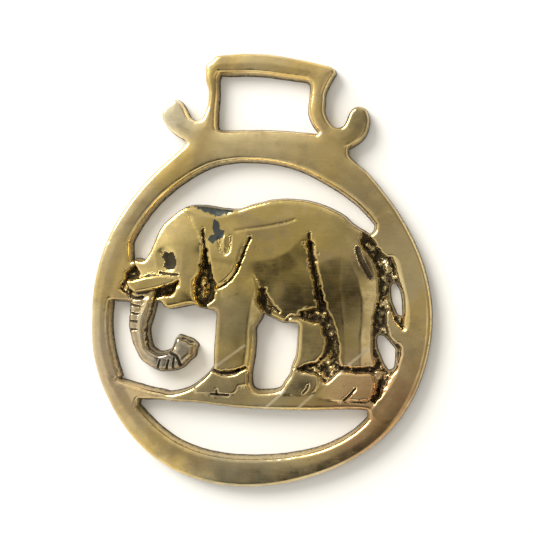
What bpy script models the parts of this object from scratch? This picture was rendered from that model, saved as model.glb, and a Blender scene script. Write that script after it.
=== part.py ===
# Horse brass: an elephant standing in a ring, with a strap loop and two small horns above it.
# It is cast in one piece and lies on its flat back, front up, with +Y towards the strap loop.
# Units are metres. The drawing below is in millimetres, and it is scaled to the named sizes.

import math

import bmesh
import bpy
import numpy as np
from mathutils import Vector
from mathutils.geometry import delaunay_2d_cdt

mm = 0.001

# Ring
ringRadius = 35.2 * mm
ringThickness = 3.2 * mm
openingRadius = 30.2 * mm
openingShift = (-0.4 * mm, 0.2 * mm)  # centre of the opening from the centre of the ring
ringCrown = 0.3 * mm  # how much the middle of the band stands over its edges

# Strap loop
slotWidth = 18.6 * mm
slotHeight = 11.2 * mm
slotShift = 1.4 * mm  # middle of the slot to the right of the ring's centre
slotFoot = 6.4 * mm  # bar between the slot and the opening of the ring
loopBar = 4.2 * mm
leftPost = 2.0 * mm
rightPost = 3.0 * mm
hornLength = 8.5 * mm

# Relief, as heights over the back
pitFloor = 2.0 * mm
groundTop = 3.5 * mm
trunkTop = 3.9 * mm
farLegTop = 4.0 * mm
bellyTop = 4.7 * mm
foreLegTop = 4.8 * mm
hindLegTop = 5.1 * mm
headTop = 4.9 * mm
tuskTop = 5.2 * mm
earTop = 5.6 * mm
footTop = 4.8 * mm

# Walls and edges
wallDraft = 0.45 * mm  # how far the foot of a wall stands out past its rim
wallFootShare = 0.25  # share of the height that is upright before the wall leans in
edgeRound = 1.4 * mm  # width over which an edge comes up to full height
edgePower = 2.6  # 2 is a quarter circle, more is squarer

# Facets
outlineStep = 1.05 * mm
reliefStep = 1.1 * mm
figureGrid = 1.4 * mm
plainGrid = 2.4 * mm
closest = 0.55 * mm
slopeWidth = 0.34 * mm  # half the width of the slope round each raised form

brassColour = (0.55, 0.40, 0.17, 1.0)
brassRoughness = 0.28

# The hand-filed edges leave their circles by this much every 15 degrees from +X, in millimetres
# on a ring of 35.2 and an opening of 30.2
outerWander = (-0.1, -0.35, -0.4, 0.2, 1.8, 3.0, 3.0, 2.6, 1.0, -0.2, -0.75, -1.0,
               -1.05, -0.3, 0.2, 0.8, 0.95, 0.4, -0.3, -0.7, -0.4, 0.2, 0.27, 0.05)
openingWander = (-0.1, -0.25, -0.1, -0.1, -0.3, 0.2, 0.55, 0.9, 0.25, -0.3, -0.85, -1.0,
                 -0.25, 0.2, 0.6, 0.5, 0.35, -0.4, -1.0, -0.7, 0.25, 0.8, 0.0, 0.25)

# The figure is drawn in millimetres from the centre of an opening of 30.2
backLine = [(-25.4, 10.6), (-24.7, 10.7), (-23.9, 10.7), (-22.4, 10.6), (-21.2, 12.2), (-20.5, 13.7),
            (-19.0, 17.0), (-16.8, 19.3), (-13.7, 21.3), (-10.3, 21.5), (-6.3, 20.9), (-3.3, 20.7),
            (-0.3, 21.6), (3.7, 22.5), (7.7, 22.6), (11.7, 22.0), (14.7, 21.0), (17.7, 19.4),
            (19.5, 17.7), (21.9, 16.2), (23.1, 15.5)]
headUnder = [(-27.5, 2.6), (-26.3, 2.5), (-25.5, 2.1)]
trunkOutside = [(-25.5, 2.1), (-25.6, -1.3), (-25.7, -2.6), (-25.3, -5.1), (-24.2, -8.2),
                (-23.0, -9.7), (-20.3, -11.4), (-18.4, -11.6), (-16.3, -11.4), (-14.8, -10.7),
                (-13.6, -9.5), (-12.5, -8.6)]
trunkEnd = [(-12.5, -8.6), (-12.3, -7.3), (-12.0, -6.5), (-13.2, -5.6), (-14.4, -5.2),
            (-15.5, -4.7)]
trunkInside = [(-15.5, -4.7), (-16.1, -5.5), (-16.9, -7.4), (-17.8, -8.0), (-19.4, -8.3),
               (-20.5, -7.8), (-21.5, -6.8), (-22.1, -3.8), (-21.7, -1.8), (-21.1, 0.1),
               (-20.7, 1.8), (-20.5, 2.4)]
chinUnder = [(-20.5, 2.4), (-19.0, 2.4), (-18.0, 1.3), (-17.1, 1.1), (-15.0, 1.5), (-13.4, 1.8),
             (-12.3, 1.9), (-11.3, 1.4), (-9.8, 1.1), (-8.2, 0.75)]
foreLegFront = [(-8.2, 0.75), (-7.6, 0.3), (-7.5, -1.0), (-7.7, -2.5), (-7.8, -4.5), (-8.0, -6.5),
                (-8.1, -9.5), (-8.2, -10.9)]
groundFront = [(-8.2, -10.9), (-9.9, -12.9), (-12.1, -14.7), (-14.6, -15.9), (-17.3, -16.4),
               (-19.0, -16.1), (-22.1, -15.5), (-24.2, -14.9), (-27.4, -14.0), (-28.2, -13.5)]
legGap = [(1.7, 0.1), (2.9, -0.3), (4.7, -1.1), (5.7, -1.5), (7.7, -1.6), (8.9, -2.1), (9.0, -3.5),
          (8.8, -5.5), (8.7, -7.5), (8.4, -9.1), (7.8, -10.5), (7.4, -12.1), (6.4, -13.7),
          (5.2, -15.3), (2.9, -15.8), (0.2, -15.7), (-0.9, -14.4), (-1.0, -12.1),
          (-0.7, -10.3), (-0.4, -8.3), (-0.2, -5.5), (-0.1, -2.9), (1.1, -0.9)]
tailGap = [(28.2, 6.4), (29.1, 5.3), (29.65, 3.6), (29.85, 1.5), (29.7, -0.6), (28.4, -0.5),
           (27.7, 0.8), (27.05, 2.4), (26.85, 4.0), (27.0, 5.8)]
heelGap = [(24.5, -4.1), (25.9, -4.1), (26.9, -5.0), (28.1, -6.4), (28.5, -7.3), (28.45, -9.6),
           (28.0, -11.1), (26.7, -11.6), (25.7, -10.5), (24.9, -8.7), (24.3, -7.2), (24.05, -5.5)]
groundUnder = [(-23.9, -17.6), (-22.9, -17.5), (-19.4, -17.5), (-16.9, -17.8), (-12.3, -18.0),
               (-8.3, -18.4), (-3.3, -18.9), (1.7, -19.1), (7.7, -19.2), (13.7, -19.1),
               (17.7, -18.9), (21.7, -19.0), (22.8, -19.4)]

# Raised forms of the figure: outline, height, and the width over which it rounds up
torso = [(-12.3, 21.3), (-8.3, 21.4), (-3.3, 20.9), (1.7, 22.1), (5.7, 22.7), (9.7, 22.4),
         (14.7, 20.9), (17.7, 19.4), (20.3, 15.0), (16.0, 9.0), (13.2, 4.6), (12.8, 0.2), (10.4, 0.9),
         (8.7, -0.1), (6.7, -1.3), (4.7, 0.2), (2.6, 0.9), (1.6, 4.0), (-3.3, 7.0), (-9.3, 12.0),
         (-11.9, 16.0)]
hindLeg = [(11.9, 15.9), (14.0, 19.4), (18.7, 18.0), (20.6, 14.5), (22.2, 12.6), (23.9, 9.4),
           (24.7, 5.6), (24.6, 1.8), (23.7, -1.4), (23.7, -6.4), (24.1, -9.8), (23.2, -10.6),
           (17.8, -10.4), (17.3, -7.0), (16.6, -2.8), (14.5, 1.9), (13.8, 4.5), (12.8, 9.0)]
foreLeg = [(-7.3, 17.0), (-3.3, 18.0), (0.4, 13.0), (1.3, 8.0), (1.2, 4.0), (0.3, 0.4), (-1.0, -3.4),
           (-1.3, -6.4), (-1.8, -9.8), (-2.6, -11.2), (-8.2, -10.9), (-7.9, -5.4), (-7.4, -0.6),
           (-8.2, 2.6), (-6.3, 6.0), (-5.2, 9.6), (-6.5, 13.0)]
farLeg = [(9.2, -2.0), (10.7, -1.7), (13.1, -1.7), (14.2, -4.0), (14.7, -5.9), (13.6, -8.4),
          (11.3, -10.1), (9.2, -10.4), (9.1, -6.6)]
head = [(-12.3, 21.4), (-15.4, 20.2), (-18.0, 18.4), (-19.9, 15.6), (-21.1, 12.3), (-22.6, 10.2),
        (-23.4, 7.8), (-22.6, 5.2), (-20.0, 2.6), (-18.0, 1.4), (-15.6, 1.6), (-12.2, 3.6),
        (-12.2, 6.6), (-11.1, 9.0), (-10.6, 12.3), (-10.6, 15.6), (-10.2, 18.6), (-10.7, 21.0)]
ear = [(-11.2, 17.7), (-10.0, 15.6), (-9.4, 12.0), (-8.9, 9.5), (-8.2, 6.5), (-7.4, 5.5),
       (-6.2, 5.6), (-4.2, 7.4), (-2.7, 10.0), (-1.7, 13.4), (-0.7, 15.8), (-3.6, 17.0),
       (-7.3, 18.0)]
trunk = [(-22.6, 10.0), (-25.2, 6.0), (-25.6, 0.0), (-25.7, -3.0), (-24.2, -8.2), (-22.0, -10.5),
         (-18.4, -11.6), (-15.2, -10.9), (-12.5, -8.6), (-12.0, -6.5), (-14.4, -5.2), (-15.5, -4.7),
         (-16.9, -7.4), (-19.4, -8.3), (-21.5, -6.8), (-22.1, -3.8), (-21.1, 0.1), (-20.3, 3.0),
         (-20.0, 7.0)]
tusk = [(-26.3, 6.3), (-22.7, 7.3), (-19.0, 7.7), (-15.4, 7.1), (-15.2, 6.7), (-17.6, 5.6),
        (-20.5, 4.5), (-22.7, 4.4), (-24.7, 4.3)]
ground = [(-29.3, -14.0), (-24.2, -15.2), (-19.0, -16.2), (-14.4, -15.8), (-12.0, -14.3), (-8.2, -13.0),
          (-3.3, -15.9), (3.7, -16.3), (6.4, -15.0), (13.7, -15.7), (20.7, -13.0), (24.7, -15.0),
          (22.7, -18.9), (12.7, -19.2), (1.7, -19.2), (-10.3, -18.3), (-19.3, -17.6), (-25.3, -17.4),
          (-28.3, -17.7)]
foreFoot = [(-8.3, -11.6), (-4.3, -12.0), (-1.8, -11.4), (-2.6, -14.0), (-3.6, -16.1), (-5.8, -16.5),
            (-7.8, -16.5), (-9.9, -15.0), (-9.3, -12.8)]
farFoot = [(8.7, -11.8), (12.0, -11.9), (13.2, -14.0), (11.7, -16.1), (7.7, -16.0), (6.8, -14.5)]
hindFoot = [(17.5, -11.4), (21.1, -11.7), (23.5, -11.8), (24.4, -14.0), (23.3, -16.8), (19.5, -17.4),
            (12.2, -16.6), (14.7, -13.6)]
tailRoot = [(22.9, 13.3), (23.8, 15.0), (26.5, 14.5), (29.0, 11.0), (28.0, 10.6), (26.0, 10.7),
            (25.0, 10.6), (24.1, 11.3)]
tailTuft = [(26.5, 1.7), (26.2, -1.5), (26.7, -4.3), (28.3, -5.5), (30.5, -5.5), (30.5, -3.0),
            (29.0, -3.0), (28.3, -1.3), (27.4, 0.6), (26.9, 1.8)]

# Grooves: centre line, depth and half width
flankGroove = [(11.3, 15.9), (11.2, 13.5), (11.5, 11.5), (12.1, 9.5), (12.5, 5.6), (12.9, 1.4)]
rumpCrease = [(20.9, 13.6), (21.5, 11.0), (22.4, 8.6), (23.5, 6.8)]
neckGroove = [(-10.5, 19.0), (-10.5, 15.4), (-10.7, 12.1), (-11.1, 9.0), (-11.3, 6.6), (-10.3, 3.8)]
earGroove = [(-8.4, 5.4), (-6.2, 4.9), (-3.9, 6.6), (-2.2, 9.6), (-1.2, 13.4), (-0.3, 15.6)]
backCrease = [(-3.8, 16.4), (-0.3, 16.9), (4.7, 18.0), (7.7, 18.7), (10.9, 19.1)]
foreAnkle = [(-8.2, -11.5), (-5.3, -11.7), (-2.0, -10.9)]
hindAnkle = [(8.9, -10.9), (13.7, -10.9), (18.7, -10.9), (23.6, -11.0)]
eyeLine = [(-18.6, 10.4), (-17.7, 10.7), (-16.7, 10.4)]
reliefForms = [
    (torso, bellyTop, 5.0 * mm),
    (farLeg, farLegTop, 1.5 * mm),
    (ground, groundTop, 1.2 * mm),
    (tailRoot, ringThickness, 0.9 * mm),
    (tailTuft, ringThickness, 0.9 * mm),
    (trunk, trunkTop, 1.9 * mm),
    (foreLeg, foreLegTop, 2.8 * mm),
    (hindLeg, hindLegTop, 3.2 * mm),
    (head, headTop, 3.2 * mm),
    (foreFoot, footTop, 1.8 * mm),
    (farFoot, farLegTop, 1.5 * mm),
    (hindFoot, footTop, 1.8 * mm),
    (tusk, tuskTop, 1.1 * mm),
    (ear, earTop, 1.6 * mm),
]
reliefGrooves = [
    (flankGroove, 1.3 * mm, 1.1 * mm),
    (rumpCrease, 1.2 * mm, 0.8 * mm),
    (neckGroove, 1.7 * mm, 1.1 * mm),
    (earGroove, 1.2 * mm, 0.7 * mm),
    (backCrease, 0.4 * mm, 0.7 * mm),
    (foreAnkle, 0.9 * mm, 0.7 * mm),
    (hindAnkle, 0.9 * mm, 0.7 * mm),
    (eyeLine, 0.9 * mm, 1.0 * mm),
]

# The ring's centre is the origin of the drawing
openingCentre = np.array(openingShift)
ringScale = ringRadius / 35.2
figureScale = openingRadius / 30.2


def wander(angle, offsets):
    """The edge's offset at an angle, smooth between the values read every few degrees."""
    place = np.degrees(angle) % 360 / 360 * len(offsets)
    first = np.floor(place).astype(int)
    share = place - first
    before, here, after, last = (
        np.take(offsets, first + k, mode="wrap") for k in (-1, 0, 1, 2)
    )
    return here + share / 2 * (
        after - before
        + share * (2 * before - 5 * here + 4 * after - last
                   + share * (3 * (here - after) + last - before))
    )


def ringEdge(start, end, radius, scale, centre, offsets):
    """Points along the ring's outer or inner edge from one angle to another, in degrees."""
    angles = np.radians(np.linspace(start, end, 160))
    reach = radius + wander(angles, offsets) * scale
    return centre + reach[:, None] * np.stack([np.cos(angles), np.sin(angles)], -1)


def smoothRun(points, closed=False):
    """A smooth curve through the points, with many points on each stretch."""
    points = np.asarray(points, float)
    if closed:
        points = np.concatenate([points[-1:], points, points[:2]])
    else:
        points = np.concatenate([2 * points[:1] - points[1:2], points, 2 * points[-1:] - points[-2:-1]])
    run = []
    for before, here, after, last in zip(points, points[1:], points[2:], points[3:]):
        share = np.linspace(0, 1, 12, endpoint=False)[:, None]
        run.append(here + share / 2 * (
            after - before
            + share * (2 * before - 5 * here + 4 * after - last
                       + share * (3 * (here - after) + last - before))
        ))
    return np.concatenate(run if closed else run + [points[-2:-1]])


def evenly(run, step, closed=False):
    """The same curve with points at even distances of about one step."""
    if closed:
        run = np.concatenate([run, run[:1]])
    along = np.concatenate([[0], np.cumsum(np.linalg.norm(np.diff(run, axis=0), axis=1))])
    count = max(2, round(along[-1] / step))
    places = np.linspace(0, along[-1], count + 1)
    if closed:
        places = places[:-1]
    return np.stack([np.interp(places, along, run[:, k]) for k in (0, 1)], -1)


def joinedLoop(runs):
    """One closed loop of runs that meet at corners."""
    return np.concatenate([evenly(run, outlineStep)[:-1] for run in runs])


def figure(points):
    """Drawn points of the figure, brought to the size of the opening."""
    return openingCentre + np.asarray(points, float) * figureScale


def openingEdge(start, end):
    return ringEdge(start, end, openingRadius, figureScale, openingCentre, openingWander)


def offsetInto(loop, distance):
    """The loop moved sideways by a distance, to its left where that is positive."""
    ahead = np.roll(loop, -1, axis=0) - np.roll(loop, 1, axis=0)
    ahead /= np.linalg.norm(ahead, axis=1)[:, None]
    return loop + distance * np.stack([-ahead[:, 1], ahead[:, 0]], -1)


def openLoops():
    """The six openings inside the ring, counterclockwise, as the front's rims."""
    top = openingEdge(36, 151)
    upper = joinedLoop([
        top,
        smoothRun(np.concatenate([top[-1:], figure(backLine[:2])])),
        smoothRun(figure(backLine[1:])),
        smoothRun(np.concatenate([figure(backLine[-1:]), figure([(24.1, 16.3)]), top[:1]])),
    ])
    left = openingEdge(175, 205)
    trunkHole = joinedLoop([
        left,
        smoothRun(np.concatenate([left[-1:], figure(groundFront[::-1])])),
        smoothRun(figure(foreLegFront[::-1])),
        smoothRun(figure(chinUnder[::-1])),
        smoothRun(figure(trunkInside[::-1])),
        smoothRun(figure(trunkEnd[::-1])),
        smoothRun(figure(trunkOutside[::-1])),
        smoothRun(np.concatenate([figure(headUnder[::-1]), left[:1]])),
    ])
    legs = evenly(smoothRun(figure(legGap), True), outlineStep, True)[::-1]
    tail = evenly(smoothRun(figure(tailGap), True), outlineStep, True)[::-1]
    heel = evenly(smoothRun(figure(heelGap), True), outlineStep, True)[::-1]
    bottom = openingEdge(-142, -42)
    lower = joinedLoop([
        bottom,
        smoothRun(np.concatenate([bottom[-1:], figure(groundUnder[::-1]), bottom[:1]])),
    ])
    return [upper, trunkHole, legs, tail, heel, lower]


def slotPoint(across, up, wall=(0, 0)):
    """A point given as shares of the slot's half width and height, and of the bars round it."""
    side = rightPost if across > 0 else leftPost
    foot = openingCentre[1] + openingRadius + slotFoot
    return (slotShift + across * slotWidth / 2 + wall[0] * side,
            foot + up * slotHeight + wall[1] * loopBar)


def slotLoop():
    left = [slotPoint(-0.96, 1.05), slotPoint(-1.02, 0.93), slotPoint(-1.02, 0.66),
            slotPoint(-1.05, 0.31), slotPoint(-1.04, 0.06), slotPoint(-0.93, 0.0)]
    foot = [left[-1], slotPoint(-0.1, 0.0), slotPoint(0.39, -0.02), slotPoint(0.87, -0.06),
            slotPoint(1.14, -0.08)]
    right = [foot[-1], slotPoint(1.19, -0.02), slotPoint(1.07, 0.14), slotPoint(0.99, 0.34),
             slotPoint(1.02, 0.58), slotPoint(1.03, 0.82), slotPoint(0.94, 0.91)]
    top = [right[-1], slotPoint(0.55, 0.955), slotPoint(-0.11, 1.035), left[0]]
    return joinedLoop([smoothRun(run) for run in (left, foot, right, top)])


def hornPoints(root, points):
    """Points of a horn, drawn in millimetres from its root on a horn 8.5 long."""
    return [tuple(np.array(root) + np.array(p) * hornLength / 8.5) for p in points]


def outerLoop():
    """The outline of the whole brass, counterclockwise from the right horn's crotch."""
    rightCrotch = slotPoint(1.84, -0.34)
    leftCrotch = slotPoint(-1.73, -0.16)
    loopTop = [slotPoint(1.03, 0.99, (1.7, 0)), slotPoint(1.0, 0.93, (1.6, 0.5)),
               slotPoint(0.9, 0.91, (1.0, 0.76)), slotPoint(0.55, 0.955, (0, 0.98)),
               slotPoint(0.08, 1.02, (0, 0.98)), slotPoint(-0.43, 1.035, (0, 1.0)),
               slotPoint(-0.76, 1.04, (0, 0.95)), slotPoint(-0.96, 1.05, (-0.3, 0.86)),
               slotPoint(-1.0, 1.04, (-0.7, 0.65)), slotPoint(-1.02, 1.05, (-1.15, 0.4)),
               slotPoint(-1.02, 0.93, (-1.25, 0.25))]
    leftFlank = [loopTop[-1], slotPoint(-1.02, 0.93, (-1.2, -0.1)), slotPoint(-1.02, 0.66, (-0.95, 0.2)),
                 slotPoint(-1.05, 0.45, (-0.9, 0.1)), slotPoint(-1.06, 0.31, (-1.2, 0.0)),
                 slotPoint(-1.1, 0.24, (-1.3, 0.0)), slotPoint(-1.22, 0.22, (-1.3, 0.0))]
    leftRoot = leftFlank[-1]
    leftHornTop = hornPoints(leftRoot, [
        (0, 0), (-1.0, 0.6), (-2.0, 2.5), (-2.9, 3.8), (-3.9, 4.4)])
    leftHornBack = hornPoints(leftRoot, [
        (-3.9, 4.4), (-5.2, 3.8), (-6.5, 2.7), (-7.0, 1.4),
        (-6.9, 0.3), (-6.4, -0.8), (-5.5, -1.9), (-4.3, -2.9)])
    leftHornBack.append(leftCrotch)
    ring = ringEdge(124, 412, ringRadius, ringScale, np.zeros(2), outerWander)
    leftShoulder = [leftCrotch, slotPoint(-1.76, -0.24), ring[0]]
    rightShoulder = [ring[-1], slotPoint(1.88, -0.48), rightCrotch]
    rightRoot = slotPoint(1.2, 0.08, (0.85, 0))
    rightHornFront = [rightCrotch] + hornPoints(rightRoot, [
        (4.0, -4.4), (5.6, -3.4), (6.8, -2.1), (7.45, -0.4), (7.6, 1.1), (7.2, 2.7), (6.5, 3.6),
        (5.3, 3.9), (4.3, 3.6), (3.4, 2.7), (2.8, 1.2), (2.1, 0.0), (0.9, -0.2), (0, 0.15)])
    rightFlank = [rightHornFront[-1], slotPoint(1.1, 0.19, (0.9, 0)), slotPoint(0.99, 0.34, (1.05, 0.0)),
                  slotPoint(1.02, 0.5, (0.98, 0.0)), slotPoint(1.03, 0.66, (1.0, 0.0)),
                  slotPoint(1.03, 0.8, (1.3, 0.1)), slotPoint(1.03, 0.9, (1.55, 0.15)), loopTop[0]]
    runs = [leftShoulder[:2] + [tuple(p) for p in ring[:1]], ring, rightShoulder, rightHornFront, rightFlank,
            loopTop, leftFlank, leftHornTop, leftHornBack]
    return joinedLoop([run if len(run) > 100 else smoothRun(run) for run in runs])


def edgeDistance(points, loop, closed=True):
    """The distance from each point to a loop or to an open line."""
    ends = np.roll(loop, -1, axis=0) if closed else loop[1:]
    starts = loop if closed else loop[:-1]
    best = np.full(len(points), np.inf)
    for a, b in zip(starts, ends):
        edge = b - a
        share = np.clip((points - a) @ edge / max(edge @ edge, 1e-18), 0, 1)
        best = np.minimum(best, np.linalg.norm(points - a - share[:, None] * edge, axis=1))
    return best


def inside(points, loop):
    """Which points lie inside a loop."""
    result = np.zeros(len(points), bool)
    for a, b in zip(loop, np.roll(loop, -1, axis=0)):
        crosses = (a[1] > points[:, 1]) != (b[1] > points[:, 1])
        run = (points[:, 1] - a[1]) / (b[1] - a[1] if b[1] != a[1] else 1)
        result ^= crosses & (points[:, 0] < a[0] + run * (b[0] - a[0]))
    return result


def rounded(share):
    """How high an edge has come up, from 0 at its foot to 1, at a share of its width."""
    share = np.clip(share, 0, 1)
    return (1 - (1 - share) ** edgePower) ** (1 / edgePower)


def heights(points, walls):
    """The front's height over the back, at points of the plan."""
    toWall = np.min([edgeDistance(points, loop) for loop in walls], axis=0)
    fromCentre = points - openingCentre
    angle = np.arctan2(fromCentre[:, 1], fromCentre[:, 0])
    reach = openingRadius + wander(angle, openingWander) * figureScale
    intoBand = np.linalg.norm(fromCentre, axis=1) - reach
    bandHalf = (ringRadius - openingRadius) / 2
    crown = ringCrown * (1 - (1 - np.clip(np.minimum(intoBand, toWall) / bandHalf, 0, 1)) ** 2)
    step = rounded((intoBand + slopeWidth) / (2 * slopeWidth))
    top = pitFloor + (ringThickness - ringCrown - pitFloor) * step + crown * step
    for outline, height, width in reliefForms:
        loop = smoothRun(figure(outline), True)[::4]
        depth = edgeDistance(points, loop) * np.where(inside(points, loop), 1, -1)
        share = np.clip((depth + slopeWidth) / (width + slopeWidth), 0, 1)
        form = pitFloor + (height - pitFloor) * np.sqrt(1 - (1 - share) ** 2)
        top = np.where(depth > -slopeWidth, np.maximum(top, form), top)
    for line, depth, half in reliefGrooves:
        away = edgeDistance(points, smoothRun(figure(line))[::4], False)
        cut = depth * np.clip(1 - (away / half) ** 2, 0, 1)
        top = np.where(cut > 0, np.maximum(top - cut, np.minimum(top, pitFloor)), top)
    return top * (wallFootShare + (1 - wallFootShare) * rounded(toWall / edgeRound))


def planPoints(walls):
    """Points for the facets: rims, the slopes of the relief, then an even grid."""
    candidates = []
    outer = walls[0]
    for loop in walls:
        inward = 1 if loop is outer else -1
        for inset in (0.35, 1.0):
            candidates.append(offsetInto(loop, inward * edgeRound * inset))
    for outline, _, width in reliefForms:
        loop = evenly(smoothRun(figure(outline), True), reliefStep, True)
        for share in (-slopeWidth, slopeWidth, 0.6 * width):
            candidates.append(offsetInto(loop, -share))
    for line, _, half in reliefGrooves:
        run = evenly(smoothRun(figure(line)), reliefStep)
        sideways = np.gradient(run, axis=0)[:, ::-1] * (1, -1)
        sideways /= np.linalg.norm(sideways, axis=1)[:, None]
        for share in (0, -1, 1):
            candidates.append(run + share * half * sideways)
    low, high = outer.min(0), outer.max(0)
    for step, withinRing in ((figureGrid, True), (plainGrid, False)):
        rows = np.arange(low[1], high[1], step * math.sqrt(3) / 2)
        for number, y in enumerate(rows):
            xs = np.arange(low[0] + step / 2 * (number % 2), high[0], step)
            row = np.stack([xs, np.full(len(xs), y)], -1)
            near = np.linalg.norm(row - openingCentre, axis=1) < openingRadius
            candidates.append(row[near] if withinRing else row)
    points = np.concatenate(candidates)
    solid = inside(points, outer)
    for hole in walls[1:]:
        solid &= ~inside(points, hole)
    points = points[solid]
    toWall = np.min([edgeDistance(points, loop) for loop in walls], axis=0)
    points = points[toWall > 0.3 * edgeRound]
    kept = np.zeros(len(points), bool)
    cells = {}
    for number, point in enumerate(points):
        cell = tuple(np.floor(point / closest).astype(int))
        around = [cells[near] for near in ((cell[0] + i, cell[1] + j) for i in (-1, 0, 1) for j in (-1, 0, 1))
                  if near in cells]
        if all(np.linalg.norm(point - points[other]) > closest for other in around):
            cells[cell] = number
            kept[number] = True
    return points[kept]


def buildBrass():
    outer = outerLoop()
    rims = [slotLoop()] + openLoops()
    walls = [outer] + [offsetInto(loop, wallDraft) for loop in rims]
    free = planPoints(walls)
    flat = np.concatenate(walls + [free])
    edges = []
    first = 0
    for loop in walls:
        count = len(loop)
        edges += [(first + k, first + (k + 1) % count) for k in range(count)]
        first += count
    plan = delaunay_2d_cdt([Vector(p) for p in flat / mm], edges, [], 0, 1e-6)
    spots = np.array([tuple(p) for p in plan[0]]) * mm
    triangles = np.array(plan[2])
    middles = spots[triangles].mean(1)
    solid = inside(middles, outer)
    for hole in walls[1:]:
        solid &= ~inside(middles, hole)
    tops = heights(spots, walls)
    low, high = outer.min(0), outer.max(0)
    middle = (low + high) / 2

    brass = bmesh.new()
    verts = [brass.verts.new((x - middle[0], y - middle[1], z)) for (x, y), z in zip(spots, tops)]
    for corners in triangles[solid]:
        brass.faces.new([verts[k] for k in corners])
    bmesh.ops.delete(brass, geom=[v for v in verts if not v.link_faces], context="VERTS")
    rim = [edge for edge in brass.edges if edge.is_boundary]
    made = bmesh.ops.extrude_edge_only(brass, edges=rim)["geom"]
    for vert in made:
        if isinstance(vert, bmesh.types.BMVert):
            vert.co.z = 0
    foot = [edge for edge in made if isinstance(edge, bmesh.types.BMEdge) and edge.is_boundary]
    bmesh.ops.triangle_fill(brass, edges=foot, use_beauty=True)
    bmesh.ops.triangulate(brass, faces=[f for f in brass.faces if len(f.verts) > 3])
    bmesh.ops.recalc_face_normals(brass, faces=brass.faces)
    return brass


def brassMaterial():
    material = bpy.data.materials.new("cast_brass")
    material.use_nodes = True
    shader = material.node_tree.nodes["Principled BSDF"]
    shader.inputs["Base Color"].default_value = brassColour
    shader.inputs["Metallic"].default_value = 1.0
    shader.inputs["Roughness"].default_value = brassRoughness
    return material


for old in list(bpy.data.objects):
    bpy.data.objects.remove(old)

brass = buildBrass()
mesh = bpy.data.meshes.new("horse_brass")
brass.to_mesh(mesh)
brass.free()
mesh.materials.append(brassMaterial())
mesh.shade_smooth()
mesh.set_sharp_from_angle(angle=math.radians(40))
horseBrass = bpy.data.objects.new("horse_brass", mesh)
bpy.context.scene.collection.objects.link(horseBrass)
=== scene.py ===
import math

import bmesh
import bpy
import numpy as np
from mathutils import Matrix, Vector, kdtree, noise


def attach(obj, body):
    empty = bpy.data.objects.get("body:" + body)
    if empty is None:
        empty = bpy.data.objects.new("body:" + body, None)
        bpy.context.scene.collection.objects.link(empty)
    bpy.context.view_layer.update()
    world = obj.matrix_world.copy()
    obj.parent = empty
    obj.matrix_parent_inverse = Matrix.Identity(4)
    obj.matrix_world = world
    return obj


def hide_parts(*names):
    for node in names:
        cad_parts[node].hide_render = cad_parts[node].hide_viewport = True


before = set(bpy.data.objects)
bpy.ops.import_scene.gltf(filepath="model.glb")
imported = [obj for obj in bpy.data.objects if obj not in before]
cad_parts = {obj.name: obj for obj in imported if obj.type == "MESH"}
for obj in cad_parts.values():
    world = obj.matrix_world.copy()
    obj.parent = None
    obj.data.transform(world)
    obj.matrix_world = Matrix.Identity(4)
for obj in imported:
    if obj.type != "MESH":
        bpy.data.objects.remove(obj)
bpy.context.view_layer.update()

mm = 0.001

# The brass's own sizes in millimetres, the same as the solid's
plate = {
    "ringRadius": 35.2,
    "openingRadius": 30.2,
    "openingCentre": (-0.4, 0.2),
    "ringTop": 3.2,
    "ringCrown": 0.2,
    "slotWidth": 18.6,
    "slotHeight": 11.2,
    "slotShift": 1.4,
    "slotFoot": 6.4,
    "loopBar": 4.2,
    "leftPost": 2.0,
    "rightPost": 3.0,
    "hornLength": 8.5,
    "hornDrawn": 8.5,  # the length at which the horns' points are given
    "upperArc": (36, 151),  # where each opening follows the ring, in degrees from +X
    "leftArc": (175, 205),
    "lowerArc": (-142, -42),
    "ringArc": (124, 412),  # from one horn round the bottom to the other
}

# How the casting is meshed and how its edges fall away
casting = {
    "drawnStep": 0.05,  # distance between the points of the drawn edges
    "cell": 0.23,  # size of a facet on the front
    "outerDraft": 0.25,  # how far the outer wall leans out below its rim
    "holeDraft": 0.45,
    "lip": 0.6,  # drop at the rim
    "lipWidth": 0.85,
    "lipPower": 2.2,
    "thinLip": 0.45,  # the most that the lip takes, as a share of the height
    "bandStart": 0.55,  # how far inside the opening's circle the ring begins to rise
    "bandWidth": 0.9,
    "formFoot": 2.4,  # height at which a raised form starts
    "formPower": 2.8,  # 2 rounds a form like a quarter circle, more is squarer
    "overRim": 1.9,  # how far the forms run on over the rims of the openings
    "overRimReach": 2.2,
    "skirtSlope": 4.0,  # how steeply a form's foot falls outside its outline
    "skirt": 0.4,  # how far out that foot reaches
    "pitFloor": 1.9,
    "blend": 0.12,  # softness of the creases between forms
    "polishedFrom": 3.2,  # the height above which the swells show
    "snapRounds": 8,
    "wallEase": 16,
    "wallDarkening": 0.8,  # how much the walls darken towards their foot
    "relaxRounds": 6,
    "relaxReach": 1.0,
    "sharpAngle": 60,
    "outerJitter": 0.4,  # the outer edge is filed smoother than the openings
    "wallRings": ((0.12, 0.12), (0.30, 0.38), (0.55, 0.66), (0.85, 0.90), (1.0, 1.0), (0.7, 1.0)),
}

# The hand-filed edges leave their circles by this much every 15 degrees from +X
outerWander = (-0.1, -0.35, -0.4, 0.2, 1.8, 3.0, 3.0, 2.6, 1.0, -0.2, -0.75, -1.0,
               -1.05, -0.3, 0.2, 0.8, 0.95, 0.4, -0.3, -0.7, -0.4, 0.2, 0.27, 0.05)
openingWander = (-0.1, -0.25, -0.1, -0.1, -0.3, 0.2, 0.55, 0.9, 0.25, -0.3, -0.85, -1.0,
                 -0.25, 0.2, 0.6, 0.5, 0.35, -0.4, -1.0, -0.7, 0.25, 0.8, 0.0, 0.25)

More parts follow.
